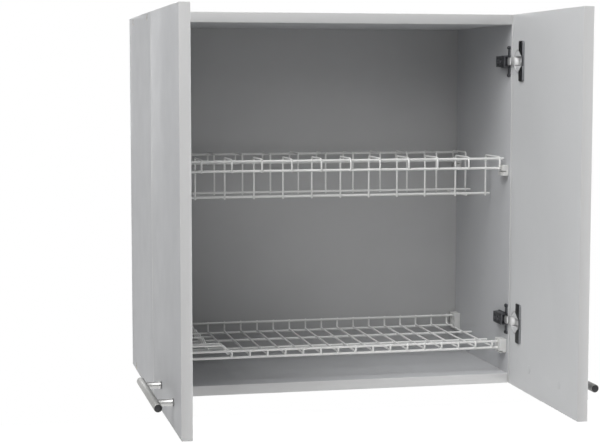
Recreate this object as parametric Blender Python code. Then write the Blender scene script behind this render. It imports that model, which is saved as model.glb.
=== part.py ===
"""Kitchen wall cabinet with two doors, a plate rack and a cup rack.

Metres, +X right, +Y towards the wall, +Z up. The origin is on the wall plane, in the middle of the
bottom board's rear edge, at half that board's thickness. Both doors stand open.
"""

import math

import bmesh
import bpy
from mathutils import Matrix, Vector

# Carcass
WIDTH = 0.600
HEIGHT = 0.600
DEPTH = 0.300
HANGING_SPACE = 0.017
BOARD = 0.016
BACK_BOARD = 0.003
GROOVE_DEPTH = 0.006
EDGE_ROUND = 0.0008
FIT = 0.0003

# Screws through the sides into the ends of the top and the bottom board
CORNER_SCREW = 0.0064
CORNER_SCREW_LENGTH = 0.050
CORNER_HEAD = 0.010
CORNER_HEAD_HEIGHT = 0.0035
CORNER_SOCKET = 0.0046
CORNER_FROM_FRONT = 0.040
CORNER_FROM_BACK = 0.060

# Hanger plates in the space behind the back board
HANGER_SHEET = 0.002
HANGER_WIDTH = 0.046
HANGER_HEIGHT = 0.070
HANGER_BELOW_TOP = 0.012
HANGER_SETBACK = 0.0005
HANGER_STUD = 0.005
HANGER_STUD_DEPTH = 0.012
KEYHOLE_ROUND = 0.015
KEYHOLE_SLOT = 0.007
KEYHOLE_RISE = 0.018
KEYHOLE_FROM_SIDE = 0.026

# Doors
DOOR_THICKNESS = 0.016
DOOR_GAP = 0.0033
SIDE_REVEAL = 0.002
PAIR_GAP = 0.003
AXIS_INSET = 0.007
OPEN_SHOWN = 89.5

# Cup hinges
HINGE_FROM_TOP = 0.0748
HINGE_FROM_BOTTOM = 0.105
CUP_RADIUS = 0.0172
CUP_DEPTH = 0.0110
CUP_WALL = 0.0012
CUP_FROM_EDGE = 0.0280
RIM_RADIUS = 0.0190
FLANGE_THICKNESS = 0.0012
FLANGE_LENGTH = 0.064
FLANGE_WIDTH = 0.024
FLANGE_OFFSET = 0.0155
FLANGE_ROUND = 0.004
DOWEL_OFFSET = 0.0115
DOWEL_SPACING = 0.048
DOWEL_DIAMETER = 0.008
DOWEL_DEPTH = 0.010
RIM_NOTCH_DEPTH = 0.0015
LINK_SHEET = 0.0010
LINK_WIDTH = 0.013
LINK_RADIUS = 0.00945
LINK_START = 60
LINK_END = 165
LINK_STEP = 15
LINK_TAIL = 0.020
LINK_TAIL_ABOVE_AXIS = 0.0012
ARM_HEIGHT = 0.018
ARM_SHEET = 0.0016
ARM_STANDS = 0.012
ARM_FRONT = 0.003
ARM_REAR = 0.042
ARM_ROUND = 0.0005
ARM_SCREW_HEAD = 0.0085
ARM_SCREW_RISE = 0.0012
ARM_SCREW_FROM_REAR = 0.010
KNUCKLE_STANDS = 0.0065
KNUCKLE_HEIGHT = 0.012
KNUCKLE_NOSE = 0.003
PLATE_SHEET = 0.002
PLATE_FRONT = 0.004
PLATE_REAR = 0.046
PLATE_BODY_HEIGHT = 0.020
PLATE_WING_WIDTH = 0.008
PLATE_WING_FROM_FRONT = 0.0095
PLATE_FOOT_DEPTH = 0.011
PLATE_FOOT_HEIGHT = 0.006
PLATE_FOOT_SPACING = 0.044
PLATE_HEAD_RISE = 0.0024
PLATE_STUD = 0.005
PLATE_STUD_DEPTH = 0.011
RAIL_FRONT = 0.011
RAIL_REAR = 0.038

# Bar handles
BAR_DIAMETER = 0.012
BAR_LENGTH = 0.200
BAR_CHAMFER = 0.0006
POST_DIAMETER = 0.010
POST_FOOT_DIAMETER = 0.0115
POST_FOOT = 0.003
POST_SPACING = 0.128
BAR_STANDS = 0.027
HANDLE_HEIGHT = 0.040
HANDLE_FROM_HINGE = 0.158
HANDLE_SCREW = 0.004
HANDLE_SCREW_HOLE = 0.0048
HANDLE_SCREW_IN_POST = 0.008
HANDLE_SCREW_HEAD = 0.0085
HANDLE_SCREW_HEAD_HEIGHT = 0.0024
HANDLE_SEAT = 0.0100
CAP_DIAMETER = 0.013
CAP_THICKNESS = 0.0005

# Welded wire racks
LONG_WIRE = 0.004
CROSS_WIRE = 0.003
WELD = 0.0009
RACK_FRONT = 0.022
RACK_FROM_BACK = 0.016
WIRE_END_GAP = 0.003

# Plate rack: a trough between two combs of hooked dividers
PLATE_RAIL_HEIGHT = 0.306
PLATE_TOP_WIRE = 0.3675
PLATE_LOW_WIRE = 0.352
POST_FROM_LIP = 0.068
DIVIDER_PITCH = 0.0482
WIDE_PITCH = 0.053
WIDE_BAYS_RIGHT = 2
FIRST_DIVIDER = 0.012
POST_BELOW_RAIL = 0.004
HOOK_BELOW_WIRE = 0.002
LIP_BEND = 0.008
POST_BEND = 0.0035
RAIL_END = 0.009
TIE_FROM_END = 0.033

# Cup rack: a flat grid with a low lip, and raised hoops at its left end
CUP_WIRE_HEIGHT = 0.0554
CUP_LIP = 0.0104
CUP_REAR_LIP = 0.0175
CUP_PITCH = 0.029
CUP_LAST_WIRE = 0.021
CUP_BEND = 0.003
CUP_MID_WIRES = 2
HOOP_LOW = 0.0200
HOOP_TALL = 0.0275
HOOP_SLOPE = 0.011
HOOP_SHORTER = 0.026
HOOP_FIRST = 0.019
HOOP_PITCH = 0.038
HOOP_BEFORE_REAR = 0.040
HOOP_END = 0.014
HOOP_LEAST_LENGTH = 0.090

# Plastic clips that carry the racks
CLIP_LENGTH = 0.026
CLIP_NOTCH = 0.004
CLIP_NOTCH_DEPTH = 0.005
CLIP_STUD = 0.005
CLIP_STUD_DEPTH = 0.009
CLIP_ROUND = 0.001
PLATE_CLIP_THICKNESS = 0.009
PLATE_CLIP_BELOW = 0.012
PLATE_CLIP_ABOVE = 0.005
CUP_CLIP_THICKNESS = 0.011
CUP_CLIP_BELOW = 0.0065
CUP_CLIP_ABOVE = 0.005

# Places that follow from the sizes
BOTTOM = -BOARD / 2
TOP = BOTTOM + HEIGHT
FRONT = -DEPTH
BACK = -HANGING_SPACE - BACK_BOARD
LEFT, RIGHT = -WIDTH / 2, WIDTH / 2
INNER_LEFT, INNER_RIGHT = LEFT + BOARD, RIGHT - BOARD
INNER_LOW, INNER_HIGH = BOTTOM + BOARD, TOP - BOARD
RACK_NEAR, RACK_FAR = FRONT + RACK_FRONT, BACK - RACK_FROM_BACK


def clear_scene():
    for obj in list(bpy.data.objects):
        bpy.data.objects.remove(obj, do_unlink=True)


def finish_of(name, colour, roughness, metallic=0.0):
    """A Principled material."""
    material = bpy.data.materials.new(name)
    material.use_nodes = True
    shader = material.node_tree.nodes["Principled BSDF"]
    shader.inputs["Base Color"].default_value = (*colour, 1.0)
    shader.inputs["Roughness"].default_value = roughness
    shader.inputs["Metallic"].default_value = metallic
    material.diffuse_color = (*colour, 1.0)
    return material


def node(name, mesh, material, parent=None, smooth=None):
    """One sub-part. Its mesh is in world places, or in its parent's."""
    obj = bpy.data.objects.new(name, mesh)
    bpy.context.scene.collection.objects.link(obj)
    mesh.materials.clear()
    mesh.materials.append(material)
    if smooth is not None:
        mesh.shade_smooth()
        mesh.set_sharp_from_angle(angle=math.radians(smooth))
    if parent is not None:
        obj.parent = parent
    return obj


def combine(target, mesh, operation):
    """Add a mesh to a sub-part, or take it away, with a hidden helper object."""
    other = bpy.data.objects.new("helper", mesh)
    bpy.context.scene.collection.objects.link(other)
    other.hide_render = True
    other.display_type = "WIRE"
    other.parent = target.parent
    step = target.modifiers.new(operation.title(), "BOOLEAN")
    step.operation = operation
    step.solver = "EXACT"
    step.object = other


def cut(target, *meshes):
    for mesh in meshes:
        combine(target, mesh, "DIFFERENCE")


def join(target, *meshes):
    for mesh in meshes:
        combine(target, mesh, "UNION")


def round_edges(target, width, segments=1):
    step = target.modifiers.new("Round", "BEVEL")
    step.width = width
    step.segments = segments
    step.limit_method = "ANGLE"


def mesh_from(work):
    """A mesh with its faces pointing out."""
    work.normal_update()
    bmesh.ops.recalc_face_normals(work, faces=work.faces)
    mesh = bpy.data.meshes.new("shape")
    work.to_mesh(mesh)
    work.free()
    return mesh


def block(one, other):
    """A box between two opposite corners."""
    work = bmesh.new()
    bmesh.ops.create_cube(work, size=1.0)
    for vertex in work.verts:
        for axis in range(3):
            vertex.co[axis] = one[axis] if vertex.co[axis] < 0 else other[axis]
    return mesh_from(work)


def prism(outline, low, high):
    """An outline in X and Y, extruded from one height to another."""
    work = bmesh.new()
    face = work.faces.new([work.verts.new((x, y, low)) for x, y in outline])
    top = bmesh.ops.extrude_face_region(work, geom=[face])
    for item in top["geom"]:
        if isinstance(item, bmesh.types.BMVert):
            item.co.z = high
    return mesh_from(work)


def rod(start, end, diameter, sides=16, chamfer=0.0, widens_to=None):
    """A round bar or a cone from one point to another, with chamfered ends if asked for."""
    start, end = Vector(start), Vector(end)
    turn = (end - start).to_track_quat("Z", "Y").to_matrix().to_4x4()
    work = bmesh.new()
    bmesh.ops.create_cone(
        work, cap_ends=True, segments=sides, radius1=diameter / 2, radius2=(widens_to or diameter) / 2,
        depth=(end - start).length, matrix=Matrix.Translation((start + end) / 2) @ turn,
    )
    if chamfer:
        rims = [edge for edge in work.edges if {len(face.verts) for face in edge.link_faces} == {4, sides}]
        bmesh.ops.bevel(work, geom=rims, offset=chamfer, segments=1, affect="EDGES")
    return mesh_from(work)


def rounded(points, bends, steps=3):
    """The points of a path whose inner corners are arcs of the given radii."""
    path = [Vector(point) for point in points]
    smooth = [path[0]]
    for before, corner, after, radius in zip(path, path[1:], path[2:], bends):
        into, out = (corner - before).normalized(), (after - corner).normalized()
        half = into.angle(out) / 2
        start = corner - into * radius * math.tan(half)
        centre = corner + (out - into).normalized() * radius / math.cos(half)
        for step in range(steps + 1):
            part = 2 * half * step / steps
            smooth.append(centre + (start - centre) * math.cos(part) + into * radius * math.sin(part))
    smooth.append(path[-1])
    return smooth


def wires(paths, diameter):
    """One mesh of round wires, each along its own path of points."""
    curve = bpy.data.curves.new("wires", "CURVE")
    curve.dimensions = "3D"
    curve.bevel_depth = diameter / 2
    curve.bevel_resolution = 1
    curve.use_fill_caps = True
    for path in paths:
        spline = curve.splines.new("POLY")
        spline.points.add(len(path) - 1)
        for point, place in zip(spline.points, path):
            point.co = (*place, 1.0)
    guide = bpy.data.objects.new("wires", curve)
    bpy.context.scene.collection.objects.link(guide)
    solid = bpy.data.meshes.new_from_object(guide.evaluated_get(bpy.context.evaluated_depsgraph_get()))
    bpy.data.objects.remove(guide)
    work = bmesh.new()
    work.from_mesh(solid)
    bmesh.ops.remove_doubles(work, verts=work.verts, dist=0.00001)
    return mesh_from(work)


def offset(line, distance):
    """A bent line moved sideways, mitred at its corners."""
    points = [Vector(point) for point in line]
    ways = [(end - start).normalized() for start, end in zip(points, points[1:])]
    moved = []
    for index, point in enumerate(points):
        before, after = ways[max(index - 1, 0)], ways[min(index, len(ways) - 1)]
        along = (before + after).normalized()
        normal = Vector((-along.y, along.x))
        moved.append(point + normal * distance / normal.dot(Vector((-after.y, after.x))))
    return moved


def above_underside(distance):
    """The height of something measured from the cabinet's underside."""
    return BOTTOM + distance


def back_groove(one, other):
    """The cutter for the back board's groove, between two corners in X and Z."""
    return block((one[0], BACK - FIT, one[1]), (other[0], BACK + BACK_BOARD + FIT, other[1]))


def make_carcass():
    sides = []
    low, high = INNER_LOW - GROOVE_DEPTH, INNER_HIGH + GROOVE_DEPTH
    for name, outer, inner, outward in (
        ("side_left", LEFT, INNER_LEFT, -1),
        ("side_right", RIGHT, INNER_RIGHT, 1),
    ):
        side = node(name, block((outer, FRONT, BOTTOM), (inner, 0, TOP)), LAMINATE)
        round_edges(side, EDGE_ROUND)
        cut(side, back_groove((inner - outward * BOARD, low), (inner + outward * GROOVE_DEPTH, high)))
        sides.append((side, outer, inner, outward))
    boards = []
    for name, outer, inner, outward in (
        ("bottom_board", BOTTOM, INNER_LOW, -1),
        ("top_board", TOP, INNER_HIGH, 1),
    ):
        board = node(name, block((INNER_LEFT + FIT, FRONT, outer), (INNER_RIGHT - FIT, 0, inner)), LAMINATE)
        round_edges(board, EDGE_ROUND)
        cut(board, back_groove((LEFT, inner - outward * BOARD), (RIGHT, inner + outward * GROOVE_DEPTH)))
        boards.append((board, (outer + inner) / 2))
    reach = GROOVE_DEPTH - FIT
    node("back_board", block(
        (INNER_LEFT - reach, BACK, INNER_LOW - reach),
        (INNER_RIGHT + reach, BACK + BACK_BOARD, INNER_HIGH + reach),
    ), BACK_FINISH)
    make_corner_screws(sides, boards)
    for side, _, inner, outward in sides:
        make_hanger(f"hanger_{side.name[5:]}", side, inner, -outward)


def make_corner_screws(sides, boards):
    number = 0
    for side, outer, _, outward in sides:
        for board, z in boards:
            for y in (FRONT + CORNER_FROM_FRONT, -CORNER_FROM_BACK):
                number += 1
                head = outer - outward * FIT
                neck = head - outward * CORNER_HEAD_HEIGHT
                tip = head - outward * CORNER_SCREW_LENGTH
                screw = node(f"corner_screw_{number}", rod((head, y, z), (neck, y, z), CORNER_HEAD, 12), ZINC)
                join(screw, rod(((head + neck) / 2, y, z), (tip, y, z), CORNER_SCREW, 12))
                cut(screw, rod((outer, y, z), ((head + neck) / 2, y, z), CORNER_SOCKET, 6))
                bore = rod((outer, y, z), (tip - outward * FIT, y, z), CORNER_SCREW + 2 * FIT, 12)
                past = outer + outward * BOARD
                cut(side, rod((past, y, z), (neck - outward * FIT, y, z), CORNER_HEAD + 2 * FIT, 12))
                cut(side, bore)
                cut(board, bore.copy())


def make_hanger(name, side, face, inward):
    """A bent plate with a keyhole, held to the side by two studs behind the back board."""
    high = TOP - BOARD - HANGER_BELOW_TOP
    low = high - HANGER_HEIGHT
    rear = -HANGER_SETBACK
    front = BACK + BACK_BOARD + 2 * FIT
    seat = face + inward * FIT
    wide = seat + inward * HANGER_WIDTH
    sheet = inward * HANGER_SHEET
    outline = (
        (seat, front), (seat + sheet, front), (seat + sheet, rear - HANGER_SHEET),
        (wide, rear - HANGER_SHEET), (wide, rear), (seat, rear),
    )
    hanger = node(name, prism(outline, low, high), ZINC)
    y = (front + rear) / 2
    for z in (low + HANGER_HEIGHT / 4, high - HANGER_HEIGHT / 4):
        tip = face - inward * HANGER_STUD_DEPTH
        join(hanger, rod((seat + sheet / 2, y, z), (tip, y, z), HANGER_STUD, 8))
        cut(side, rod((seat + sheet, y, z), (tip - inward * FIT, y, z), HANGER_STUD + 3 * FIT, 8))
    x = face + inward * KEYHOLE_FROM_SIDE
    z = (low + high - KEYHOLE_RISE) / 2
    near, far = rear - 2 * HANGER_SHEET, rear + HANGER_SHEET
    slot = block((x - KEYHOLE_SLOT / 2, near, z), (x + KEYHOLE_SLOT / 2, far, z + KEYHOLE_RISE))
    cut(hanger, rod((x, near, z), (x, far, z), KEYHOLE_ROUND, 20), slot)


class Door:
    """A door with its hinges and its handle.

    u is measured along the door from its hinge edge, and v from its inner face towards the cabinet.
    side is 1 for the right door and -1 for the left one.
    """

    def __init__(self, name, side):
        self.name = name
        self.side = side
        self.panel_face = side * INNER_RIGHT
        edge = RIGHT - SIDE_REVEAL
        self.width = edge - PAIR_GAP / 2
        self.pivot = bpy.data.objects.new(f"door_{name}_axis", None)
        bpy.context.scene.collection.objects.link(self.pivot)
        self.pivot.location = (side * (edge - AXIS_INSET), FRONT - DOOR_GAP - AXIS_INSET, 0)
        self.pivot.rotation_euler.z = side * math.radians(OPEN_SHOWN)

    def on_door(self, u, v, z):
        """A place on the door, measured from the hinge axis."""
        return (self.side * (AXIS_INSET - u), v + AXIS_INSET, z)

    def on_side(self, stand, y, z):
        """A place by the side board: how far it stands off the board, and how far behind the front."""
        return (self.panel_face - self.side * stand, FRONT + y, z)

    def pin(self, u, start, end, z, diameter, sides=12, widens_to=None):
        """A round bar or a cone square to the door."""
        return rod(self.on_door(u, start, z), self.on_door(u, end, z), diameter, sides, widens_to=widens_to)

    def make_panel(self):
        panel = node(f"door_{self.name}", block(
            self.on_door(0, -DOOR_THICKNESS, BOTTOM), self.on_door(self.width, 0, TOP),
        ), LAMINATE, self.pivot)
        round_edges(panel, EDGE_ROUND)
        return panel

    def make_hinge(self, panel, side_board, place, z):
        name = f"hinge_{self.name}_{place}"
        self.make_cup(f"{name}_cup", panel, z)
        self.make_link(f"{name}_link", z)
        self.make_arm(f"{name}_arm", z)
        self.make_plate(f"{name}_plate", side_board, z)

    def make_cup(self, name, panel, z):
        """The cup let into the door, with its rim, its flange and two dowels."""
        centre = CUP_FROM_EDGE
        seat, top = FIT, FIT + FLANGE_THICKNESS
        cup = node(name, self.pin(centre, -CUP_DEPTH, top, z, 2 * CUP_RADIUS, 28), DARK_NICKEL, self.pivot)
        middle = centre + FLANGE_OFFSET
        half = FLANGE_WIDTH / 2
        join(cup, self.pin(centre, seat, top, z, 2 * RIM_RADIUS, 28))
        join(cup, block(
            self.on_door(middle - half, seat, z - FLANGE_LENGTH / 2 + FLANGE_ROUND),
            self.on_door(middle + half, top, z + FLANGE_LENGTH / 2 - FLANGE_ROUND),
        ))
        join(cup, block(
            self.on_door(middle - half + FLANGE_ROUND, seat, z - FLANGE_LENGTH / 2),
            self.on_door(middle + half - FLANGE_ROUND, top, z + FLANGE_LENGTH / 2),
        ))
        cut(panel, self.pin(centre, -CUP_DEPTH - FIT, DOOR_GAP, z, 2 * (CUP_RADIUS + FIT), 28))
        for dowel in (z - DOWEL_SPACING / 2, z + DOWEL_SPACING / 2):
            u = centre + DOWEL_OFFSET
            join(cup, self.pin(u, -DOWEL_DEPTH, (seat + top) / 2, dowel, DOWEL_DIAMETER))
            cut(panel, self.pin(u, -DOWEL_DEPTH - FIT, DOOR_GAP, dowel, DOWEL_DIAMETER + 2 * FIT))
        cut(cup, self.pin(centre, -CUP_DEPTH + CUP_WALL, DOOR_GAP, z, 2 * (CUP_RADIUS - CUP_WALL), 24))
        notch = LINK_WIDTH / 2 + FIT
        cut(cup, block(self.on_door(0, -RIM_NOTCH_DEPTH, z - notch), self.on_door(centre, DOOR_GAP, z + notch)))

    def make_link(self, name, z):
        """The link: an arc around the hinge axis that comes out of the cup, with a straight tail in it."""
        turns = [math.radians(turn) for turn in range(LINK_START, LINK_END + LINK_STEP, LINK_STEP)]
        line = [(LINK_RADIUS * math.cos(turn), LINK_RADIUS * math.sin(turn)) for turn in turns]
        line.append((-LINK_TAIL, LINK_TAIL_ABOVE_AXIS))
        outline = offset(line, LINK_SHEET / 2) + offset(line, -LINK_SHEET / 2)[::-1]
        flat = [(self.side * x, y) for x, y in outline]
        node(name, prism(flat, z - LINK_WIDTH / 2, z + LINK_WIDTH / 2), BRIGHT_NICKEL, self.pivot)

    def make_arm(self, name, z):
        """The channel that clips over the plate's rail. Its knuckle almost touches the link."""
        foot, nose = PLATE_SHEET + 2 * FIT, -DOOR_GAP - KNUCKLE_NOSE
        arm = node(name, block(
            self.on_side(foot, ARM_FRONT, z - ARM_HEIGHT / 2), self.on_side(ARM_STANDS, ARM_REAR, z + ARM_HEIGHT / 2),
        ), DARK_NICKEL)
        round_edges(arm, ARM_ROUND)
        inside = ARM_HEIGHT / 2 - ARM_SHEET
        cut(arm, block(
            self.on_side(0, RAIL_FRONT - 2 * ARM_SHEET, z - inside),
            self.on_side(ARM_STANDS - ARM_SHEET, 2 * ARM_REAR, z + inside),
        ))
        y = ARM_REAR - ARM_SCREW_FROM_REAR
        join(arm, rod(
            self.on_side(ARM_STANDS - ARM_SHEET / 2, y, z), self.on_side(ARM_STANDS + ARM_SCREW_RISE, y, z),
            ARM_SCREW_HEAD,
        ))
        join(arm, block(
            self.on_side(foot, nose, z - KNUCKLE_HEIGHT / 2),
            self.on_side(KNUCKLE_STANDS, ARM_FRONT + ARM_SHEET, z + KNUCKLE_HEIGHT / 2),
        ))

    def make_plate(self, name, side_board, z):
        """The plate on the side board: two wings that end in feet with studs, and the rail for the arm."""
        plate = node(name, block(
            self.on_side(FIT, PLATE_FRONT, z - PLATE_BODY_HEIGHT / 2),
            self.on_side(PLATE_SHEET, PLATE_REAR, z + PLATE_BODY_HEIGHT / 2),
        ), DARK_NICKEL)
        middle = PLATE_WING_FROM_FRONT
        join(plate, block(
            self.on_side(FIT, middle - PLATE_WING_WIDTH / 2, z - PLATE_FOOT_SPACING / 2),
            self.on_side(PLATE_SHEET, middle + PLATE_WING_WIDTH / 2, z + PLATE_FOOT_SPACING / 2),
        ))
        half = ARM_HEIGHT / 2 - ARM_SHEET - FIT
        join(plate, block(
            self.on_side(PLATE_SHEET / 2, RAIL_FRONT, z - half),
            self.on_side(ARM_STANDS - ARM_SHEET - FIT, RAIL_REAR, z + half),
        ))
        top, tip = PLATE_SHEET + PLATE_HEAD_RISE, -PLATE_STUD_DEPTH
        for foot in (z - PLATE_FOOT_SPACING / 2, z + PLATE_FOOT_SPACING / 2):
            join(plate, block(
                self.on_side(FIT, middle - PLATE_FOOT_DEPTH / 2, foot - PLATE_FOOT_HEIGHT / 2),
                self.on_side(PLATE_SHEET, middle + PLATE_FOOT_DEPTH / 2, foot + PLATE_FOOT_HEIGHT / 2),
            ))
            join(plate, rod(self.on_side(tip, middle, foot), self.on_side(top, middle, foot), PLATE_STUD, 12))
            bore = PLATE_STUD + 2 * FIT
            cut(side_board, rod(self.on_side(tip - FIT, middle, foot), self.on_side(top, middle, foot), bore, 12))

    def make_handle(self, panel):
        """A round bar on two posts, each held by a sunk screw from inside the door, under a flat cap."""
        name = f"handle_{self.name}"
        z = above_underside(HANDLE_HEIGHT)
        out = -DOOR_THICKNESS - BAR_STANDS
        foot = -DOOR_THICKNESS - FIT
        start, end = HANDLE_FROM_HINGE - BAR_LENGTH / 2, HANDLE_FROM_HINGE + BAR_LENGTH / 2
        bar = rod(self.on_door(start, out, z), self.on_door(end, out, z), BAR_DIAMETER, 20, BAR_CHAMFER)
        node(f"{name}_bar", bar, STEEL, self.pivot, smooth=40)
        for number, u in enumerate((HANDLE_FROM_HINGE - POST_SPACING / 2, HANDLE_FROM_HINGE + POST_SPACING / 2), 1):
            post = node(f"{name}_post_{number}", self.pin(u, foot, out, z, POST_DIAMETER, 16), STEEL, self.pivot)
            join(post, self.pin(u, foot, foot - POST_FOOT, z, POST_FOOT_DIAMETER, 16))
            saddle = rod(self.on_door(start, out, z), self.on_door(end, out, z), BAR_DIAMETER + 2 * FIT, 20)
            tip = -DOOR_THICKNESS - HANDLE_SCREW_IN_POST
            cut(post, saddle, self.pin(u, 0, tip - FIT, z, HANDLE_SCREW_HOLE))
            neck = FIT + HANDLE_SCREW_HEAD_HEIGHT
            cut(panel, self.pin(u, -DOOR_THICKNESS / 2, -2 * DOOR_THICKNESS, z, HANDLE_SCREW_HOLE))
            cut(panel, self.pin(u, -neck, -DOOR_THICKNESS, z, HANDLE_SCREW_HOLE))
            cut(panel, self.pin(u, -neck - FIT, FIT, z, HANDLE_SCREW_HOLE, widens_to=HANDLE_SEAT))
            screw = node(
                f"{name}_screw_{number}", self.pin(u, -neck, -FIT, z, HANDLE_SCREW, widens_to=HANDLE_SCREW_HEAD),
                ZINC, self.pivot,
            )
            join(screw, self.pin(u, tip, -(FIT + neck) / 2, z, HANDLE_SCREW))
            cap = self.pin(u, FIT, FIT + CAP_THICKNESS, z, CAP_DIAMETER, 24)
            node(f"{name}_cap_{number}", cap, GREY_CAP, self.pivot, smooth=40)


def divider_places():
    """Where the plate rack's dividers stand, from left to right."""
    places = [INNER_LEFT + FIRST_DIVIDER]
    wide = WIDE_PITCH * (1 + WIDE_BAYS_RIGHT)
    narrow_bays = int((INNER_RIGHT - RAIL_END - places[0] - wide) / DIVIDER_PITCH)
    for gap in [WIDE_PITCH] + [DIVIDER_PITCH] * narrow_bays + [WIDE_PITCH] * WIDE_BAYS_RIGHT:
        places.append(places[-1] + gap)
    return places


def along(ends, y, z):
    """A straight wire along the cabinet."""
    return [(x, y, z) for x in ends]


def make_plate_rack():
    touch = (LONG_WIRE + CROSS_WIRE) / 2 - WELD
    over = above_underside(PLATE_TOP_WIRE) + touch
    rail = above_underside(PLATE_RAIL_HEIGHT)
    end = above_underside(PLATE_LOW_WIRE) - HOOK_BELOW_WIRE
    places = divider_places()
    free = INNER_LEFT + WIRE_END_GAP, INNER_RIGHT - WIRE_END_GAP
    held = INNER_LEFT + 2 * FIT, INNER_RIGHT - 2 * FIT
    rail_ends = places[0] - RAIL_END, places[-1] + RAIL_END
    dividers, long_wires = [], []
    for lip, inward in ((RACK_NEAR, 1), (RACK_FAR, -1)):
        post = lip + inward * POST_FROM_LIP
        drop = lip - inward * touch
        for x in places:
            corners = [(x, post, rail - POST_BELOW_RAIL), (x, post, over), (x, drop, over), (x, drop, end)]
            dividers.append(rounded(corners, (POST_BEND, LIP_BEND)))
        long_wires.append(along(free, lip, above_underside(PLATE_TOP_WIRE)))
        long_wires.append(along(held, lip, above_underside(PLATE_LOW_WIRE)))
        long_wires.append(along(rail_ends, post + inward * touch, rail))
    for x in (places[0] + TIE_FROM_END, places[-1] - TIE_FROM_END):
        dividers.append([(x, RACK_NEAR + POST_FROM_LIP, rail - touch), (x, RACK_FAR - POST_FROM_LIP, rail - touch)])
    rack = node("plate_rack", wires(long_wires, LONG_WIRE), WHITE_COAT, smooth=70)
    join(rack, wires(dividers, CROSS_WIRE))


def cup_wire_places():
    """Where the cup rack's cross wires lie, as many as fit between its hoops and its right end."""
    last = INNER_RIGHT - CUP_LAST_WIRE
    bays = int((last - INNER_LEFT - HOOP_END - HOOP_LEAST_LENGTH) / CUP_PITCH)
    return [last - CUP_PITCH * step for step in range(bays, -1, -1)]


def make_cup_rack():
    touch = (LONG_WIRE + CROSS_WIRE) / 2 - WELD
    base = above_underside(CUP_WIRE_HEIGHT)
    level = base + touch
    places = cup_wire_places()
    near_lip, far_lip = base + CUP_LIP + CROSS_WIRE / 2, base + CUP_REAR_LIP + CROSS_WIRE / 2
    near, far = RACK_NEAR - touch, RACK_FAR + touch
    cross = []
    for x in [INNER_LEFT + HOOP_END, *places]:
        corners = [(x, near, near_lip), (x, near, level), (x, far, level), (x, far, far_lip)]
        cross.append(rounded(corners, (CUP_BEND, CUP_BEND), 2))
    held = INNER_LEFT + 2 * FIT, INNER_RIGHT - 2 * FIT
    rows = [(RACK_NEAR, base), (RACK_NEAR, base + CUP_LIP), (RACK_FAR, base), (RACK_FAR, base + CUP_REAR_LIP)]
    for step in range(1, CUP_MID_WIRES + 1):
        rows.append((RACK_NEAR + (RACK_FAR - RACK_NEAR) * step / (CUP_MID_WIRES + 1), base))
    rack = node("cup_rack", wires([along(held, *row) for row in rows], LONG_WIRE), WHITE_COAT, smooth=70)
    join(rack, wires(cross, CROSS_WIRE), wires(hoop_paths(base, level, places[0]), CROSS_WIRE))


def hoop_paths(base, level, first_wire):
    """The raised hoops at the left end: a low one on the front wire, and others behind it on the grid."""
    start = INNER_LEFT + HOOP_END
    lip = base + CUP_LIP
    low, tall = base + HOOP_LOW, base + HOOP_TALL
    end = first_wire - HOOP_SLOPE / 3
    rim = [(start, RACK_NEAR, lip), (start, RACK_NEAR, low), (end - HOOP_SLOPE, RACK_NEAR, low), (end, RACK_NEAR, lip)]
    paths = [rounded(rim, (CUP_BEND, CUP_BEND), 2)]
    rows = [(RACK_NEAR + HOOP_FIRST, low, 0)]
    next_row = RACK_NEAR + 2 * HOOP_FIRST
    while next_row < RACK_FAR - HOOP_BEFORE_REAR:
        rows.append((next_row, tall, HOOP_SHORTER))
        next_row += HOOP_PITCH
    for y, top, shorter in rows:
        foot = end - shorter
        corners = [
            (start, y, level), (start, y, top), (foot - HOOP_SLOPE, y, top), (foot, y, level), (first_wire, y, level),
        ]
        paths.append(rounded(corners, (CUP_BEND,) * 3, 2))
    return paths


def make_clips():
    low, high = CUP_WIRE_HEIGHT, CUP_WIRE_HEIGHT + CUP_LIP
    rear_high = CUP_WIRE_HEIGHT + CUP_REAR_LIP
    plate = PLATE_CLIP_THICKNESS, PLATE_CLIP_BELOW, PLATE_CLIP_ABOVE
    cup = CUP_CLIP_THICKNESS, CUP_CLIP_BELOW, CUP_CLIP_ABOVE
    for name, y, levels, sizes in (
        ("plate_clip_front", RACK_NEAR, (PLATE_LOW_WIRE,), plate),
        ("plate_clip_rear", RACK_FAR, (PLATE_LOW_WIRE,), plate),
        ("cup_clip_front", RACK_NEAR, (low, high), cup),
        ("cup_clip_rear", RACK_FAR, (low, rear_high), cup),
    ):
        make_clip(f"{name}_left", "side_left", INNER_LEFT, 1, y, levels, sizes)
        make_clip(f"{name}_right", "side_right", INNER_RIGHT, -1, y, levels, sizes)


def make_clip(name, side, face, inward, y, levels, sizes):
    """A block with two studs in the side board, a notch, and a hole for each wire end that it holds."""
    thickness, below, above = sizes
    seat, out = face + inward * FIT, face + inward * thickness
    low = above_underside(levels[0]) - below
    high = above_underside(levels[-1]) + above
    near, far = y - CLIP_LENGTH / 2, y + CLIP_LENGTH / 2
    clip = node(name, block((seat, near, low), (out, far, high)), WHITE_PLASTIC)
    round_edges(clip, CLIP_ROUND)
    notch = above_underside(levels[0]) - LONG_WIRE / 2 - 2 * CLIP_ROUND
    cut(clip, block(
        (out - inward * CLIP_NOTCH_DEPTH, near - CLIP_NOTCH, notch - CLIP_NOTCH / 2),
        (out + inward * CLIP_NOTCH, far + CLIP_NOTCH, notch),
    ))
    z = low + CLIP_STUD
    tip = face - inward * CLIP_STUD_DEPTH
    for place in (near + CLIP_STUD, far - CLIP_STUD):
        join(clip, rod((seat + inward * CLIP_ROUND, place, z), (tip, place, z), CLIP_STUD, 8))
        bore = rod((out, place, z), (tip - inward * FIT, place, z), CLIP_STUD + 3 * FIT, 8)
        cut(bpy.data.objects[side], bore)
    for level in levels:
        z = above_underside(level)
        cut(clip, rod((face + inward * 1.5 * FIT, y, z), (out + inward * FIT, y, z), LONG_WIRE + 2 * FIT, 12))


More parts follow.
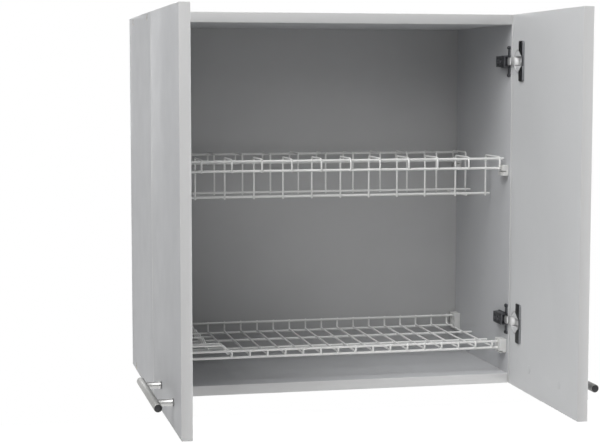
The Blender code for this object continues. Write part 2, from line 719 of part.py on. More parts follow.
LAMINATE = finish_of("light_grey_laminate", (0.53, 0.54, 0.55), 0.45)
BACK_FINISH = finish_of("grey_back_board", (0.48, 0.49, 0.50), 0.55)
STEEL = finish_of("brushed_steel", (0.55, 0.55, 0.54), 0.32, 1.0)
DARK_NICKEL = finish_of("dark_nickel", (0.10, 0.10, 0.11), 0.38, 1.0)
BRIGHT_NICKEL = finish_of("bright_nickel", (0.75, 0.75, 0.74), 0.25, 1.0)
ZINC = finish_of("zinc_plated_steel", (0.60, 0.61, 0.62), 0.35, 1.0)
WHITE_COAT = finish_of("white_wire_coating", (0.85, 0.85, 0.85), 0.35)
WHITE_PLASTIC = finish_of("white_plastic", (0.80, 0.80, 0.80), 0.40)
GREY_CAP = finish_of("grey_cover_cap", (0.53, 0.54, 0.55), 0.45)


def make_doors():
    for name, side in (("left", -1), ("right", 1)):
        door = Door(name, side)
        panel = door.make_panel()
        side_board = bpy.data.objects[f"side_{name}"]
        door.make_hinge(panel, side_board, "upper", TOP - HINGE_FROM_TOP)
        door.make_hinge(panel, side_board, "lower", above_underside(HINGE_FROM_BOTTOM))
        door.make_handle(panel)


clear_scene()
make_carcass()
make_doors()
make_plate_rack()
make_cup_rack()
make_clips()
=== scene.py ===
"""How the kitchen wall cabinet looks: boards, doors, hinges, handles, wire racks and clips, their
finishes, the light and the camera. Metres, +X right, +Y towards the wall, +Z up, as in the solids.
"""

import math

import bmesh
import bpy
from mathutils import Matrix, Vector


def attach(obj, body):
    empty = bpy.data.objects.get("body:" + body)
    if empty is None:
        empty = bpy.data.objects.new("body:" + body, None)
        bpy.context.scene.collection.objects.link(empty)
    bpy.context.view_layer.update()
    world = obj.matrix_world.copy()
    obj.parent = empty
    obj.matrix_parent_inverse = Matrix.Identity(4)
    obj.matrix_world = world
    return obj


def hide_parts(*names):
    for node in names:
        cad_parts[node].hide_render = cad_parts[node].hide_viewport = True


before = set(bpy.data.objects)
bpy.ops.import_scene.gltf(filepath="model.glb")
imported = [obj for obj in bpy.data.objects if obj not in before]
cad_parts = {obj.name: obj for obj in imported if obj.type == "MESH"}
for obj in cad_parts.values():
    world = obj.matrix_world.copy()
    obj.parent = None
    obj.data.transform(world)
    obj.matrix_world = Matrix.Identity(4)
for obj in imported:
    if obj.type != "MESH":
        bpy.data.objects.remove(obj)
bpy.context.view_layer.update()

# Carcass, as in the solids
WIDTH, HEIGHT, DEPTH = 0.600, 0.600, 0.300
BOARD, BACK_BOARD, GROOVE_DEPTH, HANGING_SPACE = 0.016, 0.003, 0.006, 0.017
EDGE_ROUND, FIT = 0.0008, 0.0003
BOTTOM, FRONT = -BOARD / 2, -DEPTH
TOP, BACK = BOTTOM + HEIGHT, -HANGING_SPACE - BACK_BOARD
LEFT, RIGHT = -WIDTH / 2, WIDTH / 2
INNER_LEFT, INNER_RIGHT = LEFT + BOARD, RIGHT - BOARD
INNER_LOW, INNER_HIGH = BOTTOM + BOARD, TOP - BOARD

# Corner screws and hangers
CORNER_HEAD, CORNER_HEAD_HEIGHT = 0.010, 0.0035
CORNER_SHANK, CORNER_LENGTH, CORNER_SOCKET = 0.0064, 0.050, 0.0046
CORNER_FROM_FRONT, CORNER_FROM_BACK = 0.040, 0.060
HANGER_SHEET, HANGER_WIDTH, HANGER_HEIGHT = 0.002, 0.046, 0.070
HANGER_BELOW_TOP, HANGER_SETBACK, HANGER_BEND = 0.012, 0.0005, 0.003
KEYHOLE_ROUND, KEYHOLE_SLOT, KEYHOLE_RISE, KEYHOLE_FROM_SIDE = 0.015, 0.007, 0.018, 0.026

# Doors and hinges
DOOR_THICKNESS, DOOR_GAP = 0.016, 0.0033
SIDE_REVEAL, PAIR_GAP, AXIS_INSET = 0.002, 0.003, 0.007
OPEN_SHOWN = 89.5
DOOR_WIDTH = RIGHT - SIDE_REVEAL - PAIR_GAP / 2
HINGE_HEIGHTS = {"upper": TOP - 0.0748, "lower": BOTTOM + 0.105}
CUP_RADIUS, CUP_DEPTH, CUP_WALL, CUP_FROM_EDGE = 0.0172, 0.0110, 0.0012, 0.0280
RIM_RADIUS, RIM_NOTCH_DEPTH = 0.0190, 0.0015
FLANGE_THICKNESS, FLANGE_LENGTH, FLANGE_WIDTH = 0.0012, 0.064, 0.024
FLANGE_OFFSET, FLANGE_ROUND = 0.0155, 0.004
DOWEL_OFFSET, DOWEL_SPACING = 0.0115, 0.048
LINK_SHEET, LINK_WIDTH, LINK_RADIUS = 0.0010, 0.013, 0.00945
LINK_START, LINK_END, LINK_TAIL, LINK_TAIL_ABOVE_AXIS = 60, 165, 0.020, 0.0012
ARM_HEIGHT, ARM_SHEET, ARM_STANDS = 0.018, 0.0016, 0.012
ARM_FRONT, ARM_REAR, ARM_SCREW_FROM_REAR = 0.003, 0.042, 0.010
KNUCKLE_STANDS, KNUCKLE_HEIGHT, KNUCKLE_NOSE = 0.0065, 0.012, 0.003
PLATE_SHEET, PLATE_FRONT, PLATE_REAR = 0.002, 0.004, 0.046
PLATE_BODY_HEIGHT, PLATE_WING_WIDTH, PLATE_WING_FROM_FRONT = 0.020, 0.008, 0.0095
PLATE_FOOT_DEPTH, PLATE_FOOT_HEIGHT, PLATE_FOOT_SPACING = 0.011, 0.006, 0.044
RAIL_FRONT, RAIL_REAR = 0.011, 0.038

# What only the looks have of the hinges
CUP_SIDES, BORE_PAST = 96, 0.002
FLANGE_BORE, PAD_BORE = 0.0009, 0.0016
FLANGE_PAD, PAD_INSET, PAD_LOW, PAD_SHOULDER, PAD_ROUND = 0.0011, 0.0030, 0.0070, 0.0130, 0.0024
CUP_PIN, CUP_PIN_REACH = 0.0014, 0.0148
LID_BELOW, LID_ABOVE, LID_FROM_LINK = 0.0016, 0.0005, 0.0006
CHEEK_SHEET, CHEEK_DEPTH = 0.0009, 0.0024
ARM_SLOT_AT, ARM_SLOT_LONG, ARM_SLOT_WIDE, ARM_SEAT = 0.0165, 0.0120, 0.0070, 0.0062
ARM_PIN, ARM_PIN_STANDS, ARM_PIN_BEHIND = 0.0011, 0.0045, 0.0035
LEAVES, LEAF_SETBACK, LEAF_ROUND, LEAF_GAP = 6, 0.0013, 0.0012, 0.00005

# Screws that only the looks have: the head, its height if it stands up, the shank, the length
HANGER_SCREW = 0.0080, 0.0022, 0.0040, 0.012
ARM_SCREW = 0.0060, 0.0013, 0.0035, 0.004
PLATE_SCREW = 0.0058, 0.0024, 0.0045, 0.012
FLANGE_SCREW = 0.0062, 0.0030, 0.008

# Bar handles
BAR_DIAMETER, BAR_LENGTH, BAR_CHAMFER, DARK_END_RADIUS = 0.012, 0.200, 0.0006, 0.0051
POST_DIAMETER, POST_FOOT_DIAMETER, POST_FOOT, POST_SPACING = 0.010, 0.0115, 0.003, 0.128
BAR_STANDS, HANDLE_HEIGHT, HANDLE_FROM_HINGE = 0.027, BOTTOM + 0.040, 0.158
HANDLE_SCREW, HANDLE_SCREW_HEAD, HANDLE_SEAT = 0.004, 0.0085, 0.0100
CAP_DIAMETER, CAP_THICKNESS = 0.013, 0.0005

# Wire racks
LONG_WIRE, CROSS_WIRE, WELD = 0.004, 0.003, 0.0009
TOUCH = (LONG_WIRE + CROSS_WIRE) / 2 - WELD
BEAD, FLAT_BEAD, HOOP_BEAD = 0.0026, 0.0017, 0.0022
RACK_FRONT, RACK_FROM_BACK = 0.022, 0.016
RACK_NEAR, RACK_FAR = FRONT + RACK_FRONT, BACK - RACK_FROM_BACK
HELD, FREE = (INNER_LEFT + 2 * FIT, INNER_RIGHT - 2 * FIT), (INNER_LEFT + 0.003, INNER_RIGHT - 0.003)
PLATE_RAIL_HEIGHT, PLATE_TOP_WIRE, PLATE_LOW_WIRE = BOTTOM + 0.306, BOTTOM + 0.3675, BOTTOM + 0.352
POST_FROM_LIP, DIVIDER_PITCH, WIDE_PITCH = 0.068, 0.0482, 0.053
NARROW_BAYS, WIDE_BAYS_RIGHT, FIRST_DIVIDER = 8, 2, 0.012
POST_BELOW_RAIL, HOOK_BELOW_WIRE, LIP_BEND, POST_BEND = 0.004, 0.002, 0.008, 0.0035
RAIL_END, TIE_FROM_END = 0.009, 0.033
CUP_WIRE_HEIGHT, CUP_LIP, CUP_REAR_LIP = BOTTOM + 0.0554, 0.0104, 0.0175
CUP_PITCH, CUP_BAYS, CUP_LAST_WIRE, CUP_BEND, CUP_MID_WIRES = 0.029, 15, 0.021, 0.003, 2
HOOP_LOW, HOOP_TALL, HOOP_SLOPE, HOOP_SHORTER = 0.0200, 0.0275, 0.011, 0.026
HOOP_FIRST, HOOP_PITCH, TALL_HOOPS, HOOP_END = 0.019, 0.038, 5, 0.014

# Rack clips: how far they stand off the side, and reach below and above their wires
PLATE_CLIP = 0.009, 0.012, 0.005
CUP_CLIP = 0.011, 0.0065, 0.005
CLIP_LENGTH, CLIP_NOTCH, CLIP_NOTCH_DEPTH, CLIP_ROUND = 0.026, 0.004, 0.005, 0.001

# Edge roundings: thin sheet, pressed sheet, hinge plates, hinge arms and moulded plastic
THIN_EDGE, PRESSED_EDGE, PLATE_EDGE, ARM_EDGE, MOULDED_EDGE = 0.0002, 0.0003, 0.0004, 0.00045, 0.0007
FLAT_LEFT = 0.00001  # what a slot's round end leaves flat, so that its two corners stay apart

# Floor, light and camera. Each lamp has its place, its size in metres and its power in watts
FLOOR, FLOOR_HALF, FLOOR_DEEP, FLOOR_GLOW = -1.45, 6, 0.02, 0.93
AMBIENT, LAMP_AIM = 0.03, (0, -0.15, 0.30)
LAMPS = (
    ("left_key_lamp", (-2.70, -1.13, 4.40), 2.6, 90.0),
    ("high_left_lamp", (-1.65, -2.50, 4.40), 2.6, 100.0),
    ("front_fill_lamp", (-2.48, -3.70, 2.80), 2.6, 56.0),
    ("front_lamp", (0.00, -4.48, 2.80), 2.6, 10.0),
    ("left_fill_lamp", (-4.68, -1.85, 0.74), 2.6, 12.0),
    ("right_fill_lamp", (4.68, -1.85, 0.74), 2.6, 115.0),
    ("low_right_lamp", (2.56, -1.08, -0.90), 1.0, 24.0),
    ("rear_lamp", (0.00, 4.60, 0.60), 1.0, 35.0),
)
CAMERA_PLACE, CAMERA_YAW, CAMERA_PITCH = (-0.58230, -2.66976, 0.48685), 12.30, -5.23
LENS, SENSOR = 92.549, 36.0


# ---- finishes

def linear(colour):
    """An sRGB hex value as linear red, green, blue and alpha."""
    def channel(text):
        value = int(text, 16) / 255
        return value / 12.92 if value <= 0.04045 else ((value + 0.055) / 1.055) ** 2.4
    return (*(channel(colour[start:start + 2]) for start in (1, 3, 5)), 1.0)


def add(tree, kind, inputs=None, **settings):
    """A node in a tree, with its settings, and its inputs set, or linked to a socket or a node's first."""
    node = tree.nodes.new(kind)
    for name, value in settings.items():
        setattr(node, name, value)
    for name, value in (inputs or {}).items():
        if isinstance(value, bpy.types.Node):
            value = value.outputs[0]
        if isinstance(value, bpy.types.NodeSocket):
            tree.links.new(value, node.inputs[name])
        else:
            node.inputs[name].default_value = value
    return node


def finish(name, colour, roughness, metallic=0.0, **sockets):
    """A Principled material and its Object coordinates."""
    material = bpy.data.materials.new(name)
    material.use_nodes = True
    tree = material.node_tree
    sockets.update(Base_Color=linear(colour), Roughness=roughness, Metallic=metallic)
    for socket, value in sockets.items():
        tree.nodes["Principled BSDF"].inputs[socket.replace("_", " ")].default_value = value
    return material, add(tree, "ShaderNodeTexCoord").outputs["Object"]


def patterned(material, **patterns):
    """The material with patterns linked to its shader's inputs."""
    tree = material.node_tree
    for socket, pattern in patterns.items():
        tree.links.new(pattern, tree.nodes["Principled BSDF"].inputs[socket.replace("_", " ")])
    return material


def stretched(place, along, by):
    """Object coordinates squeezed along one axis, so that a pattern runs in lines along it."""
    scale = [1.0, 1.0, 1.0]
    scale[along] = 1 / by
    return add(place.id_data, "ShaderNodeMapping", {"Vector": place, "Scale": scale}).outputs["Vector"]


def grain(place, size, detail=2.0, roughness=0.5):
    """Noise whose blotches are about this many metres across."""
    return add(place.id_data, "ShaderNodeTexNoise", {
        "Vector": place, "Scale": 1 / size, "Detail": detail, "Roughness": roughness,
    }).outputs["Fac"]


def cells(place, size, randomness=1.0):
    """Cells about this many metres across."""
    return add(place.id_data, "ShaderNodeTexVoronoi", {
        "Vector": place, "Scale": 1 / size, "Randomness": randomness,
    }).outputs


def spread(fac, low, high):
    """A pattern's middle range, spread from one value to another."""
    return add(fac.id_data, "ShaderNodeMapRange", {
        "Value": fac, "From Min": 0.35, "From Max": 0.65, "To Min": low, "To Max": high,
    }).outputs["Result"]


def calculated(operation, one, other):
    """Two values put together."""
    return add(one.id_data, "ShaderNodeMath", {0: one, 1: other}, operation=operation).outputs[0]


def tint(fac, one, other):
    """A colour between two hex colours."""
    colours = {0: fac, 6: linear(one), 7: linear(other)}
    return add(fac.id_data, "ShaderNodeMix", colours, data_type="RGBA").outputs[2]


def relief(height, depth, below=None):
    """A bump of this many metres, over another one if given."""
    inputs = {"Height": height, "Distance": depth, "Strength": 1.0}
    if below is not None:
        inputs["Normal"] = below
    return add(height.id_data, "ShaderNodeBump", inputs).outputs["Normal"]


def melamine_laminate(name, light, dark):
    """Printed paper pressed with melamine resin onto chipboard by a finely pearled plate.

    The eye sees an even light grey with a soft satin sheen, and the pearl texture only close up.
    """
    sheen = 0.56
    material, place = finish(name, light, sheen, IOR=1.52, Specular_IOR_Level=0.35)
    cloud = grain(place, 0.12)  # the print varies a little over a hand's width
    speck = grain(place, 0.0011, 1.0)  # paper fibre, 0.3 mm in fact, drawn coarser to show
    both = calculated("ADD", cloud, spread(speck, -0.16, 0.16))
    pearl = relief(cells(place, 0.0009)["Distance"], 0.000012)
    return patterned(
        material, Base_Color=tint(both, dark, light),
        Roughness=spread(grain(place, 0.05), sheen - 0.05, sheen + 0.05),
        Normal=relief(grain(place, 0.030), 0.00002, pearl),
    )


def raw_chipboard():
    """Sawn chipboard: flat chips of wood from 1 to 5 mm, with dark gaps between them, quite matt."""
    material, place = finish("raw_chipboard", "#b39b78", 0.85, IOR=1.45)
    chips = add(place.id_data, "ShaderNodeSeparateColor", {"Color": cells(place, 0.0035)["Color"]})
    fine = spread(grain(place, 0.0012, 4.0, 0.7), -0.35, 0.35)
    both = calculated("ADD", chips.outputs["Red"], fine)
    return patterned(material, Base_Color=tint(both, "#8d7350", "#c9b48f"), Normal=relief(both, 0.00025))


def lacquered_hardboard():
    """Hardboard with a rolled-on lacquer: flatter and a little duller than the laminate."""
    material, place = finish("lacquered_hardboard", "#c4c4c4", 0.52, IOR=1.5)
    rolled = grain(stretched(place, 2, 6.0), 0.004)
    return patterned(material, Base_Color=tint(grain(place, 0.09, 3.0), "#bfbfbf", "#c8c8c8"),
                     Normal=relief(rolled, 0.00002))


def raw_hardboard():
    """The rear of the hardboard: brown pressed fibre with the weave of the press screen, matt."""
    material, place = finish("raw_hardboard", "#8b6b48", 0.78, IOR=1.45)
    screen, fibre = cells(place, 0.0022, 0.15)["Distance"], grain(place, 0.006, 5.0, 0.7)
    return patterned(material, Base_Color=tint(fibre, "#77593a", "#9c7c56"),
                     Normal=relief(screen, 0.00018))


def satin_steel(name, colour, roughness, along):
    """Stainless steel ground with a belt: fine lines along the bar, which draw the light into streaks."""
    material, place = finish(name, colour, roughness, 1.0)
    lines = grain(stretched(place, along, 60.0), 0.0005, 2.0, 0.6)
    return patterned(material, Roughness=spread(lines, roughness - 0.08, roughness + 0.10),
                     Normal=relief(lines, 0.000006))


def plated(name, light, dark, roughness, pit=0.0012, depth=0.000006):
    """Pressed steel with a metal plating: smooth, with the soft unevenness of the pressing."""
    material, place = finish(name, light, roughness, 1.0)
    cloud = grain(place, 0.008, 3.0)
    return patterned(material, Base_Color=tint(cloud, dark, light),
                     Roughness=spread(cloud, roughness + 0.05, roughness - 0.04),
                     Normal=relief(grain(place, pit), depth))


def plastic(name, colour, roughness, dark, light, cloud, fine, depth, detail=2.0, bends_light=1.5):
    """A plastic of one tone, cloudy over one size and finely uneven over another, so satin to the eye."""
    material, place = finish(name, colour, roughness, IOR=bends_light)
    return patterned(material, Base_Color=tint(grain(place, cloud), dark, light),
                     Normal=relief(grain(place, fine, detail), depth))


def moulded_plastic(name, light, dark, roughness):
    """Injection-moulded plastic from a spark-eroded mould: an even, finely grained satin."""
    return plastic(name, light, roughness, dark, light, 0.012, 0.0007, 0.000015)


# The carcass, and a shaded and a lit copy of the same laminate for the doors, whose two faces stand in different
# light: painted shade on their outer faces and painted light on their inner faces
LAMINATE = melamine_laminate("light_grey_laminate", "#bebfc1", "#b9babc")
DOOR_OUTSIDE_PAINTED_SHADE = melamine_laminate("door_outside_laminate_painted_shade", "#bbbcbe", "#b7b8ba")
DOOR_INSIDE_PAINTED_LIGHT = melamine_laminate("door_inside_laminate_painted_light", "#d2d3d4", "#cfd0d1")
# ABS strip, extruded and glued on: a little smoother and lighter than the laminate
EDGING = plastic("abs_edging", "#d1d1d1", 0.40, "#cfcfcf", "#d3d3d3", 0.06, 0.0016, 0.00001, 3.0, 1.53)
CHIPBOARD, LACQUER, HARDBOARD = raw_chipboard(), lacquered_hardboard(), raw_hardboard()
# The handles: a belt-ground bar, turned and plated posts, and dark glossy domed ends on the bar
BAR_STEEL = satin_steel("satin_steel_bar", "#969694", 0.60, 1)
POST_STEEL = plated("polished_steel_post", "#a2a2a1", "#979796", 0.27)
BAR_END_DARK = moulded_plastic("dark_bar_end", "#1e1f21", "#17181a", 0.30)
# The hinges' one nickel plating in tones from near black to near white, which are painted shade and painted light:
# dark where the parts reflect the shaded inside, light where they face the lamps
NICKEL_PAINTED_SHADE = plated("dark_nickel", "#48494b", "#3c3d3f", 0.36)
SIDE_NICKEL_PAINTED_SHADE = plated("side_nickel_painted_shade", "#6c6d70", "#55565a", 0.42)
FLANGE_NICKEL_PAINTED_LIGHT = plated("flange_nickel_painted_light", "#9b9c9f", "#8f9093", 0.42)
CUP_NICKEL_PAINTED_LIGHT = plated("cup_nickel_painted_light", "#d2d2d3", "#c9c9ca", 0.65)
LINK_NICKEL_PAINTED_LIGHT = plated("bright_nickel", "#d2d2d2", "#c7c7c7", 0.60)
# The cup's lids in the tone of the doors' inner face: painted light
CUP_LID_PAINTED_LIGHT = moulded_plastic("cup_lid_painted_light", "#d0d1d2", "#cccdce", 0.56)
# Barrel-plated screws and hangers: bluish, with the coarser pitting of small parts that tumbled
ZINC = plated("zinc_plating", "#b4b8bd", "#a4a9b0", 0.32, 0.0025, 0.00001)
# Polyamide powder, sintered onto hot wire: thick, white and satin, with a faint orange peel
WIRE_COAT = plastic("white_wire_coating", "#efefed", 0.34, "#eaeae8", "#f3f3f1", 0.02, 0.0016, 0.00002, 2.0, 1.53)
CLIP_PLASTIC = moulded_plastic("white_clip_plastic", "#dededc", "#d8d8d6", 0.42)
# Stuck-on caps, punched from film and made to match the door's inner face, so lightened with the same painted light
CAP_FILM_PAINTED_LIGHT = moulded_plastic("grey_cap_film_painted_light", "#cfd0d1", "#cccdce", 0.56)
WHITE = linear("#ffffff")


# ---- shapes

def outward(work):
    """The shape with its faces turned outwards."""
    work.normal_update()
    bmesh.ops.recalc_face_normals(work, faces=work.faces)
    return work


def box(one, other):
    """A box between two opposite corners."""
    work = bmesh.new()
    bmesh.ops.create_cube(work, size=1.0)
    for vertex in work.verts:
        for axis in range(3):
            vertex.co[axis] = one[axis] if vertex.co[axis] < 0 else other[axis]
    return outward(work)


def softened(work, width, steps=2, turn=40):
    """The shape with each edge that turns more than this rounded off."""
    bmesh.ops.remove_doubles(work, verts=work.verts, dist=0.000002)
    work.normal_update()
    edges = [
        edge for edge in work.edges
        if len(edge.link_faces) == 2 and edge.calc_face_angle(0) > math.radians(turn)
    ]
    made = bmesh.ops.bevel(
        work, geom=edges, offset=width, segments=steps, profile=0.5, affect="EDGES", clamp_overlap=True,
    )
    for face in made["faces"]:
        face.smooth = True
    return work


def prism(outline, low, high, axes=(0, 1, 2)):
    """An outline in two of the axes, extruded along the third."""
    work = bmesh.new()
    corners = []
    for one, other in outline:
        place = [0.0, 0.0, 0.0]
        for axis, value in zip(axes, (one, other, low)):
            place[axis] = value
        corners.append(work.verts.new(place))
    made = bmesh.ops.extrude_face_region(work, geom=[work.faces.new(corners)])
    for item in made["geom"]:
        if isinstance(item, bmesh.types.BMVert):
            item.co[axes[2]] = high
    return outward(work)


def turned(profile, start=(0, 0, 0), along=(0, 0, 1), sides=32):
    """A turned shape. Each point of its profile is a distance along the axis and a radius."""
    start, along = Vector(start), Vector(along).normalized()
    aside = along.orthogonal().normalized()
    across = along.cross(aside)
    work = bmesh.new()
    rings = []
    for distance, radius in profile:
        centre = start + along * distance
        turns = [2 * math.pi * step / sides for step in range(sides if radius else 1)]
        rings.append([
            work.verts.new(centre + (aside * math.cos(turn) + across * math.sin(turn)) * radius) for turn in turns
        ])
    for low, high in zip(rings, rings[1:]):
        for step in range(sides):
            after = (step + 1) % sides
            corners = [low[step % len(low)], low[after % len(low)], high[after % len(high)], high[step % len(high)]]
            work.faces.new(list(dict.fromkeys(corners))).smooth = True
    return outward(work)


def rod(start, end, radius, sides=32):
    """A plain round bar."""
    start, end = Vector(start), Vector(end)
    length = (end - start).length
    return turned([(0, 0), (0, radius), (length, radius), (length, 0)], start, end - start, sides)


def put(name, data):
    """A new object in the scene."""
    obj = bpy.data.objects.new(name, data)
    bpy.context.scene.collection.objects.link(obj)
    return obj


def discard(obj):
    """Takes a passing object and its mesh out of the file."""
    data = obj.data
    bpy.data.objects.remove(obj)
    bpy.data.meshes.remove(data)


def as_mesh(work, name="helper"):
    """A shape as a mesh."""
    mesh = bpy.data.meshes.new(name)
    work.to_mesh(mesh)
    work.free()
    return mesh


def as_modified(obj):
    """The mesh that an object's modifiers make."""
    return bpy.data.meshes.new_from_object(obj.evaluated_get(bpy.context.evaluated_depsgraph_get()))


def joined(work, *others):
    """One shape of several."""
    for other in others:
        mesh = as_mesh(other)
        work.from_mesh(mesh)
        bpy.data.meshes.remove(mesh)
    return work


def carved(work, *tools):
    """The shape with the tools' shapes taken out of it."""
    target, *cutters = [put("helper", as_mesh(shape)) for shape in (work, *tools)]
    for cutter in cutters:
        step = target.modifiers.new("carve", "BOOLEAN")
        step.operation, step.solver, step.object = "DIFFERENCE", "EXACT", cutter
    mesh = as_modified(target)
    result = bmesh.new()
    result.from_mesh(mesh)
    for obj in (target, *cutters):
        discard(obj)
    bpy.data.meshes.remove(mesh)
    return result


def painted(work, index):
    """The shape with all its faces in another of its piece's finishes."""
    for face in work.faces:
        face.material_index = index
    return work


def rounded(points, bends, steps=6):
    """The points of a line whose inner corners are arcs of the given radii."""
    path = [Vector(point) for point in points]
    smooth = [path[0]]
    for before, corner, after, radius in zip(path, path[1:], path[2:], bends):
        into, out = (corner - before).normalized(), (after - corner).normalized()
        half = into.angle(out) / 2
        if half < 0.001 or radius == 0:
            smooth.append(corner)
            continue
        start = corner - into * radius * math.tan(half)
        centre = corner + (out - into).normalized() * radius / math.cos(half)
        for step in range(steps + 1):
            part = 2 * half * step / steps
            smooth.append(centre + (start - centre) * math.cos(part) + into * radius * math.sin(part))
    return [*smooth, path[-1]]


def rounded_outline(points, radius):
    """A closed outline in a plane, with all its corners rounded."""
    ring = [Vector((x, y, 0)) for x, y in points]
    loop = [(ring[-1] + ring[0]) / 2, *ring, (ring[-1] + ring[0]) / 2]
    return [(point.x, point.y) for point in rounded(loop, [radius] * len(ring))[:-1]]


def rounded_oblong(low, high, radius):
    """The outline of an oblong between two opposite corners, with its corners rounded."""
    return rounded_outline([low, (high[0], low[1]), high, (low[0], high[1])], radius)


def beside(line, distance):
    """A bent line in a plane moved sideways, mitred at its corners."""
    points = [Vector(point) for point in line]
    ways = [(end - start).normalized() for start, end in zip(points, points[1:])]
    moved = []
    for index, point in enumerate(points):
        before, after = ways[max(index - 1, 0)], ways[min(index, len(ways) - 1)]
        along = (before + after).normalized()
        normal = Vector((-along.y, along.x))
        moved.append(point + normal * distance / normal.dot(Vector((-after.y, after.x))))
    return [tuple(point) for point in moved]


def strip(line, one, other):
    """The outline of a bent strip, from one distance beside a line to another."""
    return beside(line, one) + beside(line, other)[::-1]


def claim(obj, body, nodes):
    """Say what a piece moves with, and which solids it stands for."""
    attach(obj, body)
    if nodes:
        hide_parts(*nodes)
    return obj


def piece(name, work, finishes, body, nodes, place=Matrix(), sharp=50):
    """A finished piece from its shape, put in its place."""
    work.transform(place)
    bmesh.ops.remove_doubles(work, verts=work.verts, dist=0.000001)
    mesh = as_mesh(outward(work), name)
    mesh.set_sharp_from_angle(angle=math.radians(sharp))
    for material in finishes:
        mesh.materials.append(material)
    return claim(put(name, mesh), body, nodes)


# ---- trees for what repeats

def geometry_tree(name, sockets):
    """A Geometry Nodes tree with named inputs, its input node and its output node."""
    tree = bpy.data.node_groups.new(name, "GeometryNodeTree")
    for way in ("INPUT", "OUTPUT"):
        tree.interface.new_socket("Geometry", in_out=way, socket_type="NodeSocketGeometry")
    for label, kind in sockets:
        tree.interface.new_socket(label, in_out="INPUT", socket_type=f"NodeSocket{kind}")
    return tree, add(tree, "NodeGroupInput"), add(tree, "NodeGroupOutput")


def named(tree, name, kind="FLOAT"):
    """A named attribute of the points."""
    return add(tree, "GeometryNodeInputNamedAttribute", {"Name": name}, data_type=kind).outputs["Attribute"]


def finished(tree, geometry, given, out, smooth):
    """The end of a tree: everything real, smooth where asked, and in its finish."""
    geometry = add(tree, "GeometryNodeRealizeInstances", {"Geometry": geometry})
    if smooth:
        geometry = add(tree, "GeometryNodeSetShadeSmooth", {"Geometry": geometry})
    coated = add(tree, "GeometryNodeSetMaterial", {"Geometry": geometry, "Material": given.outputs["Finish"]})
    tree.links.new(coated.outputs["Geometry"], out.inputs["Geometry"])
    return tree


def grown(name, guide, tree, values):
    """A plain mesh object that a tree makes from its guide."""
    obj = put(name, guide)
    step = obj.modifiers.new("grow", "NODES")
    step.node_group = tree
    for item in tree.interface.items_tree:
        if item.item_type == "SOCKET" and item.in_out == "INPUT" and item.name in values:
            step[item.identifier] = values[item.name]
    mesh = as_modified(obj)
    obj.modifiers.clear()
    obj.data = mesh
    mesh.name = name
    bpy.data.meshes.remove(guide)
    return obj


def guide_mesh(points, edges, attributes):
    """Points and lines for a tree to follow, with named numbers or directions on the points."""
    mesh = bpy.data.meshes.new("guide")
    mesh.from_pydata([tuple(point) for point in points], edges, [])
    for name, (kind, values) in attributes.items():
        layer = mesh.attributes.new(name, kind, "POINT")
        key = "vector" if kind == "FLOAT_VECTOR" else "value"
        for item, value in zip(layer.data, values):
            setattr(item, key, value)
    return mesh


def wire_tree():
    """Round wires along lines, with filleted bends, and a bead of coating where two are welded."""
    tree, given, out = geometry_tree("coated_wires", (("Sides", "Int"), ("Finish", "Material")))
    parts = add(tree, "GeometryNodeSeparateGeometry", {
        "Geometry": given, "Selection": named(tree, "weld", "BOOLEAN"),
    }, domain="POINT")
    lines = add(tree, "GeometryNodeMeshToCurve", {"Mesh": parts.outputs["Inverted"]})
    bent = add(tree, "GeometryNodeFilletCurve", {
        "Curve": lines, "Count": 7, "Radius": named(tree, "bend"),
    }, mode="POLY")
    ring = add(tree, "GeometryNodeCurvePrimitiveCircle", {"Resolution": given.outputs["Sides"], "Radius": 1.0})
    wire = add(tree, "GeometryNodeCurveToMesh", {
        "Curve": bent, "Profile Curve": ring, "Fill Caps": True, "Scale": named(tree, "thickness"),
    })
    drop = add(tree, "GeometryNodeMeshIcoSphere", {"Radius": 1.0, "Subdivisions": 2})
    beads = add(tree, "GeometryNodeInstanceOnPoints", {
        "Points": parts.outputs["Selection"], "Instance": drop, "Scale": named(tree, "bead", "FLOAT_VECTOR"),
    })
    whole = add(tree, "GeometryNodeJoinGeometry", {"Geometry": beads})
    tree.links.new(wire.outputs["Mesh"], whole.inputs["Geometry"])
    return finished(tree, whole, given, out, True)


def screw_tree():
    """The same screw at each point, turned to face its own way and driven to its own angle."""
    sockets = ("Screw", "Object"), ("Seed", "Int"), ("Finish", "Material")
    tree, given, out = geometry_tree("driven_screws", sockets)
    screw = add(tree, "GeometryNodeObjectInfo", {"Object": given.outputs["Screw"]})
    spin = add(tree, "FunctionNodeRandomValue", {
        "Min": (0.0, 0.0, 0.0), "Max": (0.0, 0.0, math.pi), "Seed": given.outputs["Seed"],
    }, data_type="FLOAT_VECTOR")
    faced = add(tree, "FunctionNodeAlignRotationToVector", {"Vector": named(tree, "facing", "FLOAT_VECTOR")})
    driven = add(tree, "FunctionNodeRotateRotation", {
        "Rotation": faced, "Rotate By": spin,
    }, rotation_space="LOCAL")
    every = add(tree, "GeometryNodeInstanceOnPoints", {
        "Points": given, "Instance": screw.outputs["Geometry"], "Rotation": driven,
    })
    return finished(tree, every, given, out, False)


WIRES, SCREWS = wire_tree(), screw_tree()


# ---- carcass

def board(node, low, high, broad, raw, body, tools, place=Matrix(), inside=LAMINATE, outside=LAMINATE):
    """A chipboard board: laminate on its broad faces, edging on the others, raw wood where it is sawn."""
    work = softened(box(low, high), EDGE_ROUND, 3)
    work.normal_update()
    for face in work.faces:
        if abs(face.normal[broad]) < 0.9999:
            face.material_index = 1
        elif face.normal[broad] < 0:
            face.material_index = 3
        if any(face.normal[axis] * way > 0.9 for axis, way in raw):
            face.material_index = 2
    work = carved(work, *[painted(tool, 2) for tool in tools])
    finishes = inside, EDGING, CHIPBOARD, outside
    piece(f"{node}_panel", work, finishes, body, (node,), place, 35)


